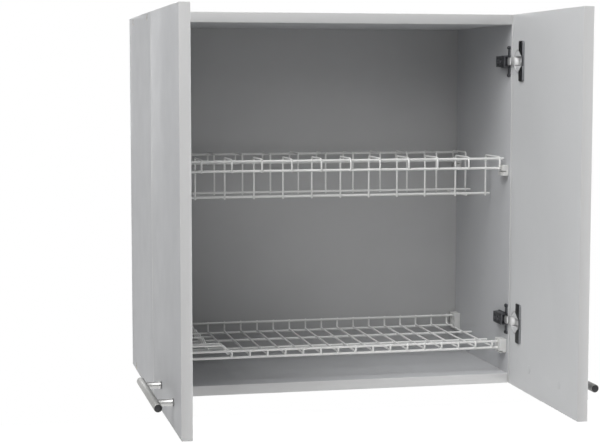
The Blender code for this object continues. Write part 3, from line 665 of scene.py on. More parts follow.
def corner_places():
    """Each corner screw: the point on the side board's outer face, and the way that its head faces."""
    return [
        (Vector((outer, y, z)), Vector((way, 0.0, 0.0)))
        for outer, way in ((LEFT, -1.0), (RIGHT, 1.0))
        for z in ((BOTTOM + INNER_LOW) / 2, (TOP + INNER_HIGH) / 2)
        for y in (FRONT + CORNER_FROM_FRONT, -CORNER_FROM_BACK)
    ]


def make_carcass():
    """The side, bottom and top boards, and the back board in their grooves."""
    low, high = INNER_LOW - GROOVE_DEPTH, INNER_HIGH + GROOVE_DEPTH
    near, far = BACK - FIT, BACK + BACK_BOARD + FIT
    for name, outer, inner, way in (("side_left", LEFT, INNER_LEFT, -1), ("side_right", RIGHT, INNER_RIGHT, 1)):
        tools = [box((inner - way * BOARD, near, low), (inner + way * GROOVE_DEPTH, far, high))]
        for place, facing in corner_places():
            if facing.x == way:
                start = place + facing * FIT
                end = start - facing * (CORNER_HEAD_HEIGHT + 3 * FIT)
                tools.append(rod(start, end, CORNER_HEAD / 2 + FIT))
        board(name, (outer, FRONT, BOTTOM), (inner, 0, TOP), 0, ((1, 1),), "carcass", tools)
    for name, outer, inner, way in (("bottom_board", BOTTOM, INNER_LOW, -1), ("top_board", TOP, INNER_HIGH, 1)):
        groove = box((LEFT, near, inner - way * BOARD), (RIGHT, far, inner + way * GROOVE_DEPTH))
        ends = (INNER_LEFT + FIT, FRONT, outer), (INNER_RIGHT - FIT, 0, inner)
        board(name, *ends, 2, ((0, -1), (0, 1), (1, 1)), "carcass", [groove])
    reach = GROOVE_DEPTH - FIT
    work = softened(box(
        (INNER_LEFT - reach, BACK, INNER_LOW - reach), (INNER_RIGHT + reach, BACK + BACK_BOARD, INNER_HIGH + reach),
    ), THIN_EDGE)
    for face in work.faces:
        if face.normal.y > -0.9:
            face.material_index = 1
    piece("back_panel", work, (LACQUER, HARDBOARD), "carcass", ("back_board",))


def make_hangers():
    """Bent plates behind the back board, each with a keyhole and two screws into the side board."""
    high = TOP - BOARD - HANGER_BELOW_TOP
    low = high - HANGER_HEIGHT
    rear, front = -HANGER_SETBACK - HANGER_SHEET / 2, BACK + BACK_BOARD + 2 * FIT
    depth, half = 3 * HANGER_SHEET, KEYHOLE_SLOT / 2
    screws = []
    for name, face, way in (("hanger_left", INNER_LEFT, 1), ("hanger_right", INNER_RIGHT, -1)):
        seat = face + way * (FIT + HANGER_SHEET / 2)
        wide = face + way * (FIT + HANGER_WIDTH)
        line = rounded([(seat, front), (seat, rear), (wide, rear)], (HANGER_BEND,))
        x, z = face + way * KEYHOLE_FROM_SIDE, (low + high - KEYHOLE_RISE) / 2
        slot = rounded_oblong((x - half, z), (x + half, z + KEYHOLE_RISE), half - FLAT_LEFT)
        work = carved(
            prism(strip(line, HANGER_SHEET / 2, -HANGER_SHEET / 2), low, high),
            rod((x, rear - depth, z), (x, rear + depth, z), KEYHOLE_ROUND / 2, 48),
            prism(slot, rear - depth, rear + depth, (0, 2, 1)),
        )
        piece(name + "_plate", softened(work, PRESSED_EDGE), (ZINC,), "carcass", (name,))
        for height in (low + HANGER_HEIGHT / 4, high - HANGER_HEIGHT / 4):
            screws.append(((face + way * (FIT + HANGER_SHEET), (front + rear) / 2, height), (way, 0.0, 0.0)))
    drive("hanger_screws", screws, pan_screw(*HANGER_SCREW), ZINC, "carcass", ())


# ---- screws

def cross_recess(width, top, depth):
    """The tool for a cross recess: two wedge-shaped slots."""
    slots = []
    for turn in (0, math.pi / 2):
        slot = box((-width / 2, -width * 0.11, top - depth), (width / 2, width * 0.11, top + depth))
        for vertex in slot.verts:
            if vertex.co.z < top:
                vertex.co.x *= 0.45
        slot.transform(Matrix.Rotation(turn, 4, "Z"))
        slots.append(slot)
    return slots


def pan_screw(head, height, shank, length):
    """A pan-head screw that faces up, its head's underside at zero."""
    radius = head / 2
    profile = [
        (-length, 0), (-length, shank * 0.35), (-length + shank * 0.4, shank / 2), (0, shank / 2),
        (0, radius * 0.96), (height * 0.12, radius), (height * 0.45, radius * 0.97),
        (height * 0.75, radius * 0.84), (height * 0.93, radius * 0.62), (height, radius * 0.35), (height, 0),
    ]
    return carved(turned(profile, sides=28), *cross_recess(head * 0.58, height, height * 0.7))


def flush_screw(head, shank, length):
    """A countersunk screw that faces up, its head's top face at zero."""
    radius = head / 2
    profile = [
        (-length, 0), (-length, shank / 2), (-radius, shank / 2), (-head * 0.06, radius), (-head * 0.02, radius),
        (0, radius * 0.96), (0, 0),
    ]
    return carved(turned(profile, sides=28), *cross_recess(head * 0.6, 0, head * 0.2))


def socket_screw():
    """A corner screw: a countersunk head with a hexagon socket, on a thick shank."""
    radius, neck = CORNER_HEAD / 2, CORNER_HEAD_HEIGHT
    profile = [
        (-CORNER_LENGTH, 0), (-CORNER_LENGTH, CORNER_SHANK * 0.3), (-CORNER_LENGTH + 0.005, CORNER_SHANK / 2),
        (-neck, CORNER_SHANK / 2), (-neck * 0.45, radius), (-0.0004, radius), (0, radius - 0.0004), (0, 0),
    ]
    return carved(turned(profile, sides=40), rod((0, 0, -0.0022), (0, 0, 0.001), CORNER_SOCKET / 2, 6))


def drive(name, places, screw, material, body, nodes, seed=7):
    """A screw at each place, each place a point and the way that the head faces."""
    for face in screw.faces:
        face.smooth = True
    pattern = put("helper", as_mesh(screw))
    pattern.data.set_sharp_from_angle(angle=math.radians(32))
    guide = guide_mesh([place for place, _ in places], [], {
        "facing": ("FLOAT_VECTOR", [facing for _, facing in places]),
    })
    obj = grown(name, guide, SCREWS, {"Screw": pattern, "Seed": seed, "Finish": material})
    discard(pattern)
    return claim(obj, body, nodes)


def make_corner_screws():
    """The eight screws through the sides into the top and the bottom board."""
    sunk = [(place - facing * FIT, facing) for place, facing in corner_places()]
    nodes = [f"corner_screw_{number}" for number in range(1, 9)]
    drive("corner_screws", sunk, socket_screw(), ZINC, "carcass", nodes)


# ---- doors

def door_space(side):
    """From a door's own places to the cabinet's: how far from its hinge edge, how far in front of its
    inner face, and the height. side is 1 for the right door and -1 for the left one."""
    axis = Vector((side * (RIGHT - SIDE_REVEAL - AXIS_INSET), FRONT - DOOR_GAP - AXIS_INSET, 0))
    flip = Matrix(((-side, 0, 0, side * AXIS_INSET), (0, 1, 0, AXIS_INSET), (0, 0, 1, 0), (0, 0, 0, 1)))
    return Matrix.Translation(axis) @ Matrix.Rotation(side * math.radians(OPEN_SHOWN), 4, "Z") @ flip


def side_space(side):
    """From a side board's own places to the cabinet's: how far from its inner face, how far behind the
    front, and the height."""
    return Matrix(((-side, 0, 0, side * INNER_RIGHT), (0, 1, 0, FRONT), (0, 0, 1, 0), (0, 0, 0, 1)))


def placed(points, space):
    """Screw places turned from a door's or a side board's own places to the cabinet's."""
    turn = space.to_3x3()
    return [(space @ Vector(place), (turn @ Vector(facing)).normalized()) for place, facing in points]


def cup_round(z, low, high, radius, sides=CUP_SIDES):
    """A round bar on a hinge cup's own axis."""
    return rod((CUP_FROM_EDGE, low, z), (CUP_FROM_EDGE, high, z), radius, sides)


def make_door(name, side):
    """A door with all that turns with it: its board, its handle, and its hinges' cups and links."""
    body, space = f"{name}_door", door_space(side)
    bores = [cup_round(z, -CUP_DEPTH - FIT, DOOR_GAP, CUP_RADIUS + FIT, 64) for z in HINGE_HEIGHTS.values()]
    for way in (-1, 1):
        place = (HANDLE_FROM_HINGE + way * POST_SPACING / 2, 0, HANDLE_HEIGHT)
        bores.append(turned([
            (-0.003, 0), (-0.003, HANDLE_SCREW / 2), (0, HANDLE_SEAT / 2), (0.001, HANDLE_SEAT / 2), (0.001, 0),
        ], place, (0, 1, 0), 40))
    # The doors' inner faces take the painted-light copy of the laminate, their outer faces the painted-shade copy
    board(f"door_{name}", (0, -DOOR_THICKNESS, BOTTOM), (DOOR_WIDTH, 0, TOP), 1, (), body, bores, space,
          DOOR_INSIDE_PAINTED_LIGHT, DOOR_OUTSIDE_PAINTED_SHADE)
    flange_screws = []
    for place, z in HINGE_HEIGHTS.items():
        make_cup(f"hinge_{name}_{place}", z, body, space)
        make_link(f"hinge_{name}_{place}", z, body, space)
        top = FIT + FLANGE_THICKNESS + FLANGE_PAD
        for dowel in (z - DOWEL_SPACING / 2, z + DOWEL_SPACING / 2):
            flange_screws.append(((CUP_FROM_EDGE + DOWEL_OFFSET, top + 0.0001, dowel), (0, 1, 0)))
    # The flange screws in the darkest nickel, as the pads' tops: painted shade
    drive(f"hinge_{name}_flange_screws", placed(flange_screws, space), flush_screw(*FLANGE_SCREW),
          NICKEL_PAINTED_SHADE, body, (), 11)
    make_handle(name, body, space)


def make_cup(hinge, z, body, space):
    """The cup with its rolled rim, its flange with two raised pads whose tops are painted dark as shade, and the
    pin and lids inside.
    """
    seat, top = FIT, FIT + FLANGE_THICKNESS
    radius, inner, floor = CUP_RADIUS, CUP_RADIUS - CUP_WALL, CUP_WALL - CUP_DEPTH
    # The cup in the light nickel: painted light, so that its hollow shows about as light as the door
    cup = turned([
        (-CUP_DEPTH, 0), (-CUP_DEPTH, radius - 0.0010), (-CUP_DEPTH + 0.0003, radius - 0.0003),
        (-CUP_DEPTH + 0.0010, radius), (seat, radius), (seat, RIM_RADIUS - 0.0003), (seat + 0.0003, RIM_RADIUS),
        (top - 0.0004, RIM_RADIUS), (top - 0.0001, RIM_RADIUS - 0.0003), (top, RIM_RADIUS - 0.0007),
        (top, inner + 0.0006), (top - 0.0002, inner + 0.0002), (top - 0.0006, inner),
        (floor + 0.0012, inner), (floor + 0.0003, inner - 0.0004), (floor, inner - 0.0012), (floor, 0),
    ], (CUP_FROM_EDGE, 0, z), (0, 1, 0), CUP_SIDES)
    notch = LINK_WIDTH / 2 + FIT
    cup = carved(cup, box((0, -RIM_NOTCH_DEPTH, z - notch), (CUP_FROM_EDGE, DOOR_GAP, z + notch)))
    middle, half, reach = CUP_FROM_EDGE + FLANGE_OFFSET, FLANGE_WIDTH / 2, FLANGE_LENGTH / 2
    outline = rounded_oblong((middle - half, z - reach), (middle + half, z + reach), FLANGE_ROUND)
    bore = cup_round(z, seat - BORE_PAST, top + BORE_PAST, inner + FLANGE_BORE)
    flange = softened(carved(prism(outline, seat, top, (0, 2, 1)), bore), PRESSED_EDGE)
    pads = []
    for way in (-1, 1):
        # A pad runs up beside the cup and spreads to the rim, as the pressing does
        near, far, high = middle - half + PAD_INSET, middle + half - PAD_INSET, z + way * (reach - 0.0004)
        outline = rounded_outline([
            (near, z + way * PAD_SHOULDER), (near, high), (far, high), (far, z + way * PAD_LOW),
        ], PAD_ROUND)
        pad = carved(
            softened(prism(outline, seat + 0.0003, top + FLANGE_PAD, (0, 2, 1)), PRESSED_EDGE),
            cup_round(z, seat - BORE_PAST, top + BORE_PAST, inner + PAD_BORE),
        )
        pad.normal_update()
        for face in pad.faces:
            # The step's front wall faces the lamps and stays as light as the flange: painted light
            if face.normal.x > 0.6:
                face.material_index = 1
        pads.append(pad)
    pin_at = (AXIS_INSET + LINK_TAIL, LINK_TAIL_ABOVE_AXIS - AXIS_INSET)
    pin = rod((*pin_at, z - CUP_PIN_REACH), (*pin_at, z + CUP_PIN_REACH), CUP_PIN, 20)
    # Two thin lids close the cup on both sides of the link, as on a hinge with its brake in the cup. Their tone is
    # that of the doors' lit inner face, painted light over the shade in the cup's hollow
    slot = notch + LID_FROM_LINK
    gap = box((0, -CUP_DEPTH, z - slot), (2 * CUP_FROM_EDGE, DOOR_GAP, z + slot))
    lids = softened(carved(cup_round(z, top - LID_BELOW, top - LID_ABOVE, inner - FIT), gap), THIN_EDGE)
    # Pad tops in the darkest nickel, the flange and the pads' front walls lighter, the cup, pin and lids lighter
    # still: painted shade and painted light of one plating
    work = joined(painted(cup, 2), painted(flange, 1), *pads, painted(pin, 3), painted(lids, 4))
    piece(f"{hinge}_cup_shell", work, (NICKEL_PAINTED_SHADE, FLANGE_NICKEL_PAINTED_LIGHT, CUP_NICKEL_PAINTED_LIGHT, LINK_NICKEL_PAINTED_LIGHT, CUP_LID_PAINTED_LIGHT), body,
          (f"{hinge}_cup",), space)


def make_link(hinge, z, body, space):
    """The link: a pressed channel in an arc around the hinge axis, with its tail rolled round the pin."""
    line = []
    for turn in range(LINK_START, LINK_END + 1, 5):
        turn = math.radians(turn)
        line.append((AXIS_INSET - LINK_RADIUS * math.cos(turn), LINK_RADIUS * math.sin(turn) - AXIS_INSET))
    line.append((AXIS_INSET + LINK_TAIL, LINK_TAIL_ABOVE_AXIS - AXIS_INSET))
    half, low, high = LINK_SHEET / 2, z - LINK_WIDTH / 2, z + LINK_WIDTH / 2
    web = softened(prism(strip(line, half, -half), low, high), THIN_EDGE, turn=45)
    cheeks = []
    for start in (low, high - CHEEK_SHEET):
        # The cheeks turn in, towards the axis
        edge = strip(line, half, half - CHEEK_DEPTH)
        if (Vector(edge[len(line) // 2]) - Vector((AXIS_INSET, -AXIS_INSET))).length > LINK_RADIUS + half + 0.0001:
            edge = strip(line, -half, CHEEK_DEPTH - half)
        cheek = prism(edge, start + 0.0001, start + CHEEK_SHEET - 0.0001)
        cheeks.append(softened(cheek, THIN_EDGE, turn=45))
    eye = turned([
        (0, 0), (0, 0.0024), (0.0003, 0.0027), (LINK_WIDTH - 0.0011, 0.0027), (LINK_WIDTH - 0.0008, 0.0024),
        (LINK_WIDTH - 0.0008, 0),
    ], (*line[-1], low + 0.0004), sides=24)
    # The link in the lightest nickel: painted light
    piece(f"{hinge}_link_channel", joined(web, *cheeks, eye), (LINK_NICKEL_PAINTED_LIGHT,), body, (f"{hinge}_link",),
          space)


def make_arm(hinge, z, space):
    """The arm: an open channel over the plate's rail, with two screws, and the knuckle in its mouth."""
    foot, nose = PLATE_SHEET + 2 * FIT, -DOOR_GAP - KNUCKLE_NOSE
    half, inside = ARM_HEIGHT / 2, ARM_HEIGHT / 2 - ARM_SHEET
    long, wide, screw_at = ARM_SLOT_LONG / 2, ARM_SLOT_WIDE / 2, ARM_REAR - ARM_SCREW_FROM_REAR
    slot = rounded_oblong((ARM_SLOT_AT - long, z - wide), (ARM_SLOT_AT + long, z + wide), wide - FLAT_LEFT)
    shell = carved(
        box((foot, ARM_FRONT, z - half), (ARM_STANDS, ARM_REAR, z + half)),
        box((0, -ARM_FRONT, z - inside), (ARM_STANDS - ARM_SHEET, 2 * ARM_REAR, z + inside)),
        prism(slot, ARM_STANDS - 0.0011, ARM_STANDS + 0.001, (1, 2, 0)),
        rod((ARM_STANDS - 0.0005, screw_at, z), (ARM_STANDS + 0.001, screw_at, z), ARM_SEAT, 40),
    )
    pin_at, reach = (ARM_PIN_STANDS, ARM_FRONT + ARM_PIN_BEHIND), inside + 0.0002
    work = joined(softened(shell, ARM_EDGE, 3), rod((*pin_at, z - reach), (*pin_at, z + reach), ARM_PIN, 20))
    for way in (-1, 1):
        # Rivet heads of the links' pins on both cheeks
        work = joined(work, turned(
            [(0, 0), (0, 0.0021), (0.0002, 0.0020), (0.00035, 0.0014), (0.00035, 0)],
            (*pin_at, z + way * (half - 0.0001)), (0, 0, way), 24,
        ))
    # The knuckle: the ends of both links, sheet on sheet, round their pin, in the links' lighter nickel: painted
    # light against the arm's painted shade
    rise, leaf = KNUCKLE_STANDS - LEAF_SETBACK, KNUCKLE_HEIGHT / LEAVES
    for number in range(LEAVES):
        low = z - KNUCKLE_HEIGHT / 2 + leaf * number
        inset = 0.0004 if number in (0, LEAVES - 1) else 0.0
        end = rounded_oblong((foot + inset, nose + inset), (rise - inset, RAIL_FRONT - 0.001), LEAF_ROUND)
        sheet = softened(prism(end, low + LEAF_GAP, low + leaf - LEAF_GAP), THIN_EDGE)
        work = joined(work, painted(sheet, 1))
    # The arm in the side nickel: painted shade
    piece(f"{hinge}_arm_channel", work, (SIDE_NICKEL_PAINTED_SHADE, LINK_NICKEL_PAINTED_LIGHT), "carcass", (f"{hinge}_arm",),
          space)
    return [((ARM_STANDS - 0.0006, screw_at, z), (1, 0, 0)),
            ((ARM_STANDS - 0.0012, ARM_SLOT_AT + 0.0015, z), (1, 0, 0))]


def make_plate(hinge, z, space):
    """The plate on the side board: two wings that end in screwed feet, and the rail for the arm."""
    middle, wing, span = PLATE_WING_FROM_FRONT, PLATE_WING_WIDTH / 2, PLATE_FOOT_SPACING / 2
    half, deep, tall = PLATE_BODY_HEIGHT / 2, PLATE_FOOT_DEPTH / 2, PLATE_FOOT_HEIGHT / 2
    inner = ARM_HEIGHT / 2 - ARM_SHEET - FIT
    parts = [box((FIT, PLATE_FRONT, z - half), (PLATE_SHEET, PLATE_REAR, z + half)),
             box((FIT, middle - wing, z - span), (PLATE_SHEET, middle + wing, z + span)),
             box((PLATE_SHEET / 2, RAIL_FRONT, z - inner), (ARM_STANDS - ARM_SHEET - FIT, RAIL_REAR, z + inner))]
    for foot in (z - span, z + span):
        outline = rounded_oblong((middle - deep, foot - tall), (middle + deep, foot + tall), tall - 0.0006)
        parts.append(prism(outline, FIT, PLATE_SHEET, (1, 2, 0)))
    work = joined(*[softened(part, PLATE_EDGE) for part in parts])
    # The plate in the side nickel: painted shade
    piece(f"{hinge}_plate_wings", work, (SIDE_NICKEL_PAINTED_SHADE,), "carcass", (f"{hinge}_plate",), space)
    return [((PLATE_SHEET, middle, foot), (1, 0, 0)) for foot in (z - span, z + span)]


def make_hinge_sides(name, side):
    """What the hinges have on the side board."""
    space = side_space(side)
    arm_screws, plate_screws = [], []
    for place, z in HINGE_HEIGHTS.items():
        arm_screws += make_arm(f"hinge_{name}_{place}", z, space)
        plate_screws += make_plate(f"hinge_{name}_{place}", z, space)
    # Arm screws in the side nickel and plate screws in the darkest nickel: painted shade
    for kind, places, sizes, material, seed in (
        ("arm", arm_screws, ARM_SCREW, SIDE_NICKEL_PAINTED_SHADE, 3), ("plate", plate_screws, PLATE_SCREW, NICKEL_PAINTED_SHADE, 5),
    ):
        drive(f"hinge_{name}_{kind}_screws", placed(places, space), pan_screw(*sizes), material, "carcass", (),
              seed)


def make_handle(name, body, space):
    """A round bar on two turned posts, and the sunk screws that hold them, under flat caps."""
    z = HANDLE_HEIGHT
    out, foot = -DOOR_THICKNESS - BAR_STANDS, -DOOR_THICKNESS - FIT
    radius = BAR_DIAMETER / 2
    # The dark end's dome, then the bar's chamfered rim
    profile = [
        (0.0001, 0), (0.00015, 0.0015), (0.0003, 0.0030), (0.0006, 0.0043), (0.0009, 0.0050),
        (0.0004, 0.0052), (0.0, 0.0054), (0.0, radius - BAR_CHAMFER), (BAR_CHAMFER * 0.3, radius - 0.0002),
        (BAR_CHAMFER, radius),
    ]
    profile += [(BAR_LENGTH - distance, width) for distance, width in reversed(profile)]
    bar = turned(profile, (HANDLE_FROM_HINGE - BAR_LENGTH / 2, out, z), (1, 0, 0), 64)
    for face in bar.faces:
        centre = face.calc_center_median()
        if math.hypot(centre.y - out, centre.z - z) < DARK_END_RADIUS:
            face.material_index = 1
    piece(f"handle_{name}_rod", bar, (BAR_STEEL, BAR_END_DARK), body, (f"handle_{name}_bar",), space)
    shaft, wide, length, half = POST_DIAMETER / 2, POST_FOOT_DIAMETER / 2, foot - out, CAP_DIAMETER / 2
    screws = []
    for number, way in ((1, -1), (2, 1)):
        u = HANDLE_FROM_HINGE + way * POST_SPACING / 2
        post = turned([
            (0, 0), (0, wide - 0.0003), (0.0003, wide), (POST_FOOT - 0.0005, wide),
            (POST_FOOT - 0.0001, wide - 0.0003), (POST_FOOT, shaft + 0.0002), (POST_FOOT + 0.0004, shaft),
            (length - 0.003, shaft), (length - 0.003, 0),
        ], (u, foot, z), (0, -1, 0), 48)
        piece(f"handle_{name}_foot_{number}", post, (POST_STEEL,), body, (f"handle_{name}_post_{number}",),
              space)
        screws.append(((u, -FIT, z), (0, 1, 0)))
        # The cap takes the doors' lighter inner tone: painted light
        cap = turned([
            (0, 0), (0, half - 0.0001), (0.0001, half), (0.0002, half), (0.00038, half - 0.0003),
            (CAP_THICKNESS, half - 0.0013), (CAP_THICKNESS, 0),
        ], (u, FIT, z), (0, 1, 0), 64)
        piece(f"handle_{name}_cover_{number}", cap, (CAP_FILM_PAINTED_LIGHT,), body, (f"handle_{name}_cap_{number}",),
              space)
    drive(f"handle_{name}_screws", placed(screws, space),
          flush_screw(HANDLE_SCREW_HEAD, HANDLE_SCREW, DOOR_THICKNESS + 0.006), ZINC, body,
          (f"handle_{name}_screw_1", f"handle_{name}_screw_2"), 9)


# ---- racks

def along(ends, y, z):
    """A straight wire along the cabinet."""
    return [(x, y, z) for x in ends], LONG_WIRE, ()


def wire_rack(name, wires, welds, node):
    """A rack from its wires, each with its points, its diameter and its bends, and its welds."""
    points, edges, thickness, bend = [], [], [], []
    # The coating closes a wire's end in a dome, drawn by points close to the end
    dome = ((0.0, 0.25), (0.12, 0.50), (0.40, 0.82), (0.90, 1.0))
    for path, diameter, bends in wires:
        radius = diameter / 2
        corners = [Vector(point) for point in path]
        into = (corners[1] - corners[0]).normalized()
        back = (corners[-2] - corners[-1]).normalized()
        line = [(corners[0] + into * radius * step, radius * width, 0.0) for step, width in dome]
        line += [(corner, radius, turn) for corner, turn in zip(corners[1:-1], bends)]
        line += [(corners[-1] + back * radius * step, radius * width, 0.0) for step, width in reversed(dome)]
        first = len(points)
        for values, value in zip(zip(*line), (points, thickness, bend)):
            value.extend(values)
        edges += [(index, index + 1) for index in range(first, len(points) - 1)]
    weld = [False] * len(points) + [True] * len(welds)
    bead = [(0.0, 0.0, 0.0)] * len(points) + [size for _, size in welds]
    points += [place for place, _ in welds]
    thickness += [0.0] * len(welds)
    bend += [0.0] * len(welds)
    guide = guide_mesh(points, edges, {
        "thickness": ("FLOAT", thickness), "bend": ("FLOAT", bend), "weld": ("BOOLEAN", weld),
        "bead": ("FLOAT_VECTOR", bead),
    })
    obj = grown(name, guide, WIRES, {"Sides": 20, "Finish": WIRE_COAT})
    return claim(obj, "carcass", (node,))


def crossing(x, y, z, through):
    """A weld where two wires cross. through is the axis from one wire to the other."""
    size = [BEAD] * 3
    size[through] = FLAT_BEAD
    return ((x, y, z), tuple(size))


def make_plate_rack():
    """Two rows of hooked dividers on both sides of a trough, on wires that lie in the clips."""
    rail, top, low = PLATE_RAIL_HEIGHT, PLATE_TOP_WIRE, PLATE_LOW_WIRE
    over, end, half = top + TOUCH, low - HOOK_BELOW_WIRE, TOUCH / 2
    places = [INNER_LEFT + FIRST_DIVIDER]
    for gap in [WIDE_PITCH] + [DIVIDER_PITCH] * NARROW_BAYS + [WIDE_PITCH] * WIDE_BAYS_RIGHT:
        places.append(places[-1] + gap)
    wires, welds = [], []
    for lip, inward in ((RACK_NEAR, 1), (RACK_FAR, -1)):
        post = lip + inward * POST_FROM_LIP
        drop = lip - inward * TOUCH
        for x in places:
            corners = [(x, post, rail - POST_BELOW_RAIL), (x, post, over), (x, drop, over), (x, drop, end)]
            wires.append((corners, CROSS_WIRE, (POST_BEND, LIP_BEND)))
            welds += [crossing(x, lip, top + half, 2), crossing(x, lip - inward * half, low, 1),
                      crossing(x, post + inward * half, rail, 1)]
        wires += [along(FREE, lip, top), along(HELD, lip, low),
                  along((places[0] - RAIL_END, places[-1] + RAIL_END), post + inward * TOUCH, rail)]
    near, far = RACK_NEAR + POST_FROM_LIP, RACK_FAR - POST_FROM_LIP
    for x in (places[0] + TIE_FROM_END, places[-1] - TIE_FROM_END):
        wires.append(([(x, near, rail - TOUCH), (x, far, rail - TOUCH)], CROSS_WIRE, ()))
        welds += [crossing(x, near + TOUCH, rail - half, 2), crossing(x, far - TOUCH, rail - half, 2)]
    wire_rack("plate_rack_wires", wires, welds, "plate_rack")


def make_cup_rack():
    """A grid with a lip at the front and the rear, and a comb of raised hoops at its left end."""
    base = CUP_WIRE_HEIGHT
    lip, rear_lip, level, half = base + CUP_LIP, base + CUP_REAR_LIP, base + TOUCH, TOUCH / 2
    places = [INNER_RIGHT - CUP_LAST_WIRE - CUP_PITCH * step for step in range(CUP_BAYS, -1, -1)]
    start = INNER_LEFT + HOOP_END
    near, far = RACK_NEAR - TOUCH, RACK_FAR + TOUCH
    depth = RACK_FAR - RACK_NEAR
    rows = [RACK_NEAR + depth * step / (CUP_MID_WIRES + 1) for step in range(1, CUP_MID_WIRES + 1)]
    wires = [along(HELD, y, z) for y, z in (
        (RACK_NEAR, base), (RACK_NEAR, lip), (RACK_FAR, base), (RACK_FAR, rear_lip), *((row, base) for row in rows),
    )]
    welds = []
    bent = [(near, lip + CROSS_WIRE / 2), (near, level), (far, level), (far, rear_lip + CROSS_WIRE / 2)]
    for x in [start, *places]:
        wires.append(([(x, y, z) for y, z in bent], CROSS_WIRE, (CUP_BEND, CUP_BEND)))
        welds += [crossing(x, y, base + half, 2) for y in (RACK_NEAR, *rows, RACK_FAR)]
        welds += [crossing(x, RACK_NEAR - half, lip, 1), crossing(x, RACK_FAR + half, rear_lip, 1)]
    low, tall, end = base + HOOP_LOW, base + HOOP_TALL, places[0] - HOOP_SLOPE / 3
    rim = [(start, lip), (start, low), (end - HOOP_SLOPE, low), (end, lip)]
    wires.append(([(x, RACK_NEAR, z) for x, z in rim], CROSS_WIRE, (CUP_BEND, CUP_BEND)))
    hoops = [(HOOP_FIRST, low, 0)]
    hoops += [(2 * HOOP_FIRST + HOOP_PITCH * step, tall, HOOP_SHORTER) for step in range(TALL_HOOPS)]
    for behind, top, shorter in hoops:
        y, foot = RACK_NEAR + behind, end - shorter
        hoop = [(start, level), (start, top), (foot - HOOP_SLOPE, top), (foot, level), (places[0], level)]
        wires.append(([(x, y, z) for x, z in hoop], CROSS_WIRE, (CUP_BEND,) * 3))
        welds += [((start, y, level), (HOOP_BEAD,) * 3), ((places[0], y, level), (HOOP_BEAD,) * 3)]
    wire_rack("cup_rack_wires", wires, welds, "cup_rack")


def make_clips():
    """Four clips for each rack, two at the front and two at the rear."""
    low = CUP_WIRE_HEIGHT
    for row, y, levels, sizes in (
        ("plate_clip_front", RACK_NEAR, (PLATE_LOW_WIRE,), PLATE_CLIP),
        ("plate_clip_rear", RACK_FAR, (PLATE_LOW_WIRE,), PLATE_CLIP),
        ("cup_clip_front", RACK_NEAR, (low, low + CUP_LIP), CUP_CLIP),
        ("cup_clip_rear", RACK_FAR, (low, low + CUP_REAR_LIP), CUP_CLIP),
    ):
        for name, side in (("left", -1), ("right", 1)):
            make_clip(f"{row}_{name}", y - FRONT, levels, sizes, side_space(side))


def make_clip(name, y, levels, sizes, space):
    """A moulded block with a notch, and a hole for each wire end."""
    thickness, below, above = sizes
    near, far = y - CLIP_LENGTH / 2, y + CLIP_LENGTH / 2
    notch = levels[0] - LONG_WIRE / 2 - 2 * CLIP_ROUND
    tools = [box((thickness - CLIP_NOTCH_DEPTH, near - CLIP_NOTCH, notch - CLIP_NOTCH / 2),
                 (thickness + CLIP_NOTCH, far + CLIP_NOTCH, notch))]
    tools += [rod((1.5 * FIT, y, level), (thickness + FIT, y, level), LONG_WIRE / 2 + FIT) for level in levels]
    block = box((FIT, near, levels[0] - below), (thickness, far, levels[-1] + above))
    work = softened(carved(block, *tools), MOULDED_EDGE, 3)
    piece(f"{name}_block", work, (CLIP_PLASTIC,), "carcass", (name,), space)


# ---- floor, light and camera

def surface(tree, output, lit, seen):
    """One shader where light is gathered, and another where the camera, a gloss or a clear piece looks."""
    ray = add(tree, "ShaderNodeLightPath").outputs
    looks = calculated("MAXIMUM", ray["Is Camera Ray"], ray["Is Glossy Ray"])
    looks = calculated("MAXIMUM", looks, ray["Is Transmission Ray"])
    mix = add(tree, "ShaderNodeMixShader", {0: looks, 1: lit, 2: seen})
    tree.links.new(mix.outputs["Shader"], tree.nodes[output].inputs["Surface"])


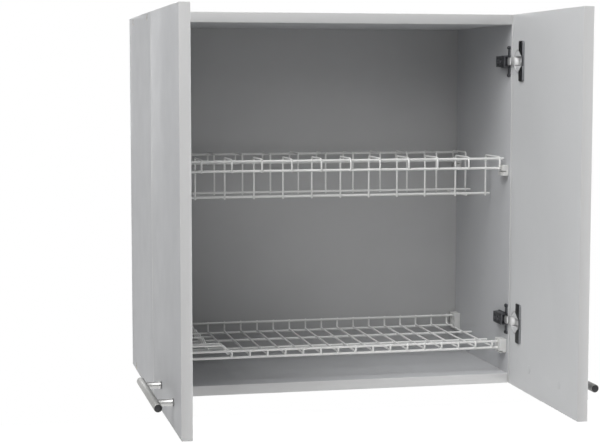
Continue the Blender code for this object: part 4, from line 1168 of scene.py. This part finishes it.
def make_floor():
    """A pale floor far below the hung cabinet. It shows as white, but keeps the shadow."""
    material, place = finish("pale_floor", "#ececec", 0.9, Specular_IOR_Level=0.1)
    tree = place.id_data
    matt = tree.nodes["Principled BSDF"]
    glow = add(tree, "ShaderNodeEmission", {"Color": WHITE, "Strength": FLOOR_GLOW})
    surface(tree, "Material Output", matt, add(tree, "ShaderNodeAddShader", {0: matt, 1: glow}))
    work = box((-FLOOR_HALF, -FLOOR_HALF, FLOOR - FLOOR_DEEP), (FLOOR_HALF, FLOOR_HALF, FLOOR))
    floor = put("floor", as_mesh(work, "floor"))
    floor.data.materials.append(material)


def make_world():
    """Even studio air: a soft grey light on the object, and white where the camera or a gloss looks."""
    world = bpy.data.worlds.new("studio")
    bpy.context.scene.world = world
    world.use_nodes = True
    tree = world.node_tree
    air = tree.nodes["Background"]
    air.inputs["Color"].default_value = WHITE
    air.inputs["Strength"].default_value = AMBIENT
    surface(tree, "World Output", air, add(tree, "ShaderNodeBackground", {"Color": WHITE, "Strength": 1.0}))


def make_lights():
    """Soft square lamps that all face the cabinet."""
    for name, place, size, power in LAMPS:
        light = bpy.data.lights.new(name, "AREA")
        light.shape, light.size, light.energy = "SQUARE", size, power
        obj = put(name, light)
        obj.location = place
        obj.rotation_euler = (Vector(LAMP_AIM) - Vector(place)).to_track_quat("-Z", "Y").to_euler()


def make_camera():
    """The photograph's own view: a long lens, a little from the left and from above."""
    camera = put("camera", bpy.data.cameras.new("camera"))
    camera.data.lens, camera.data.sensor_width = LENS, SENSOR
    camera.location = CAMERA_PLACE
    yaw, pitch = math.radians(CAMERA_YAW), math.radians(CAMERA_PITCH)
    ahead = Vector((math.sin(yaw) * math.cos(pitch), math.cos(yaw) * math.cos(pitch), math.sin(pitch)))
    camera.rotation_euler = ahead.to_track_quat("-Z", "Y").to_euler()
    bpy.context.scene.camera = camera


make_carcass()
make_hangers()
make_corner_screws()
for door, way in (("left", -1), ("right", 1)):
    make_door(door, way)
    make_hinge_sides(door, way)
make_plate_rack()
make_cup_rack()
make_clips()
make_floor()
make_world()
make_lights()
make_camera()
bpy.context.scene.view_settings.view_transform = "Standard"
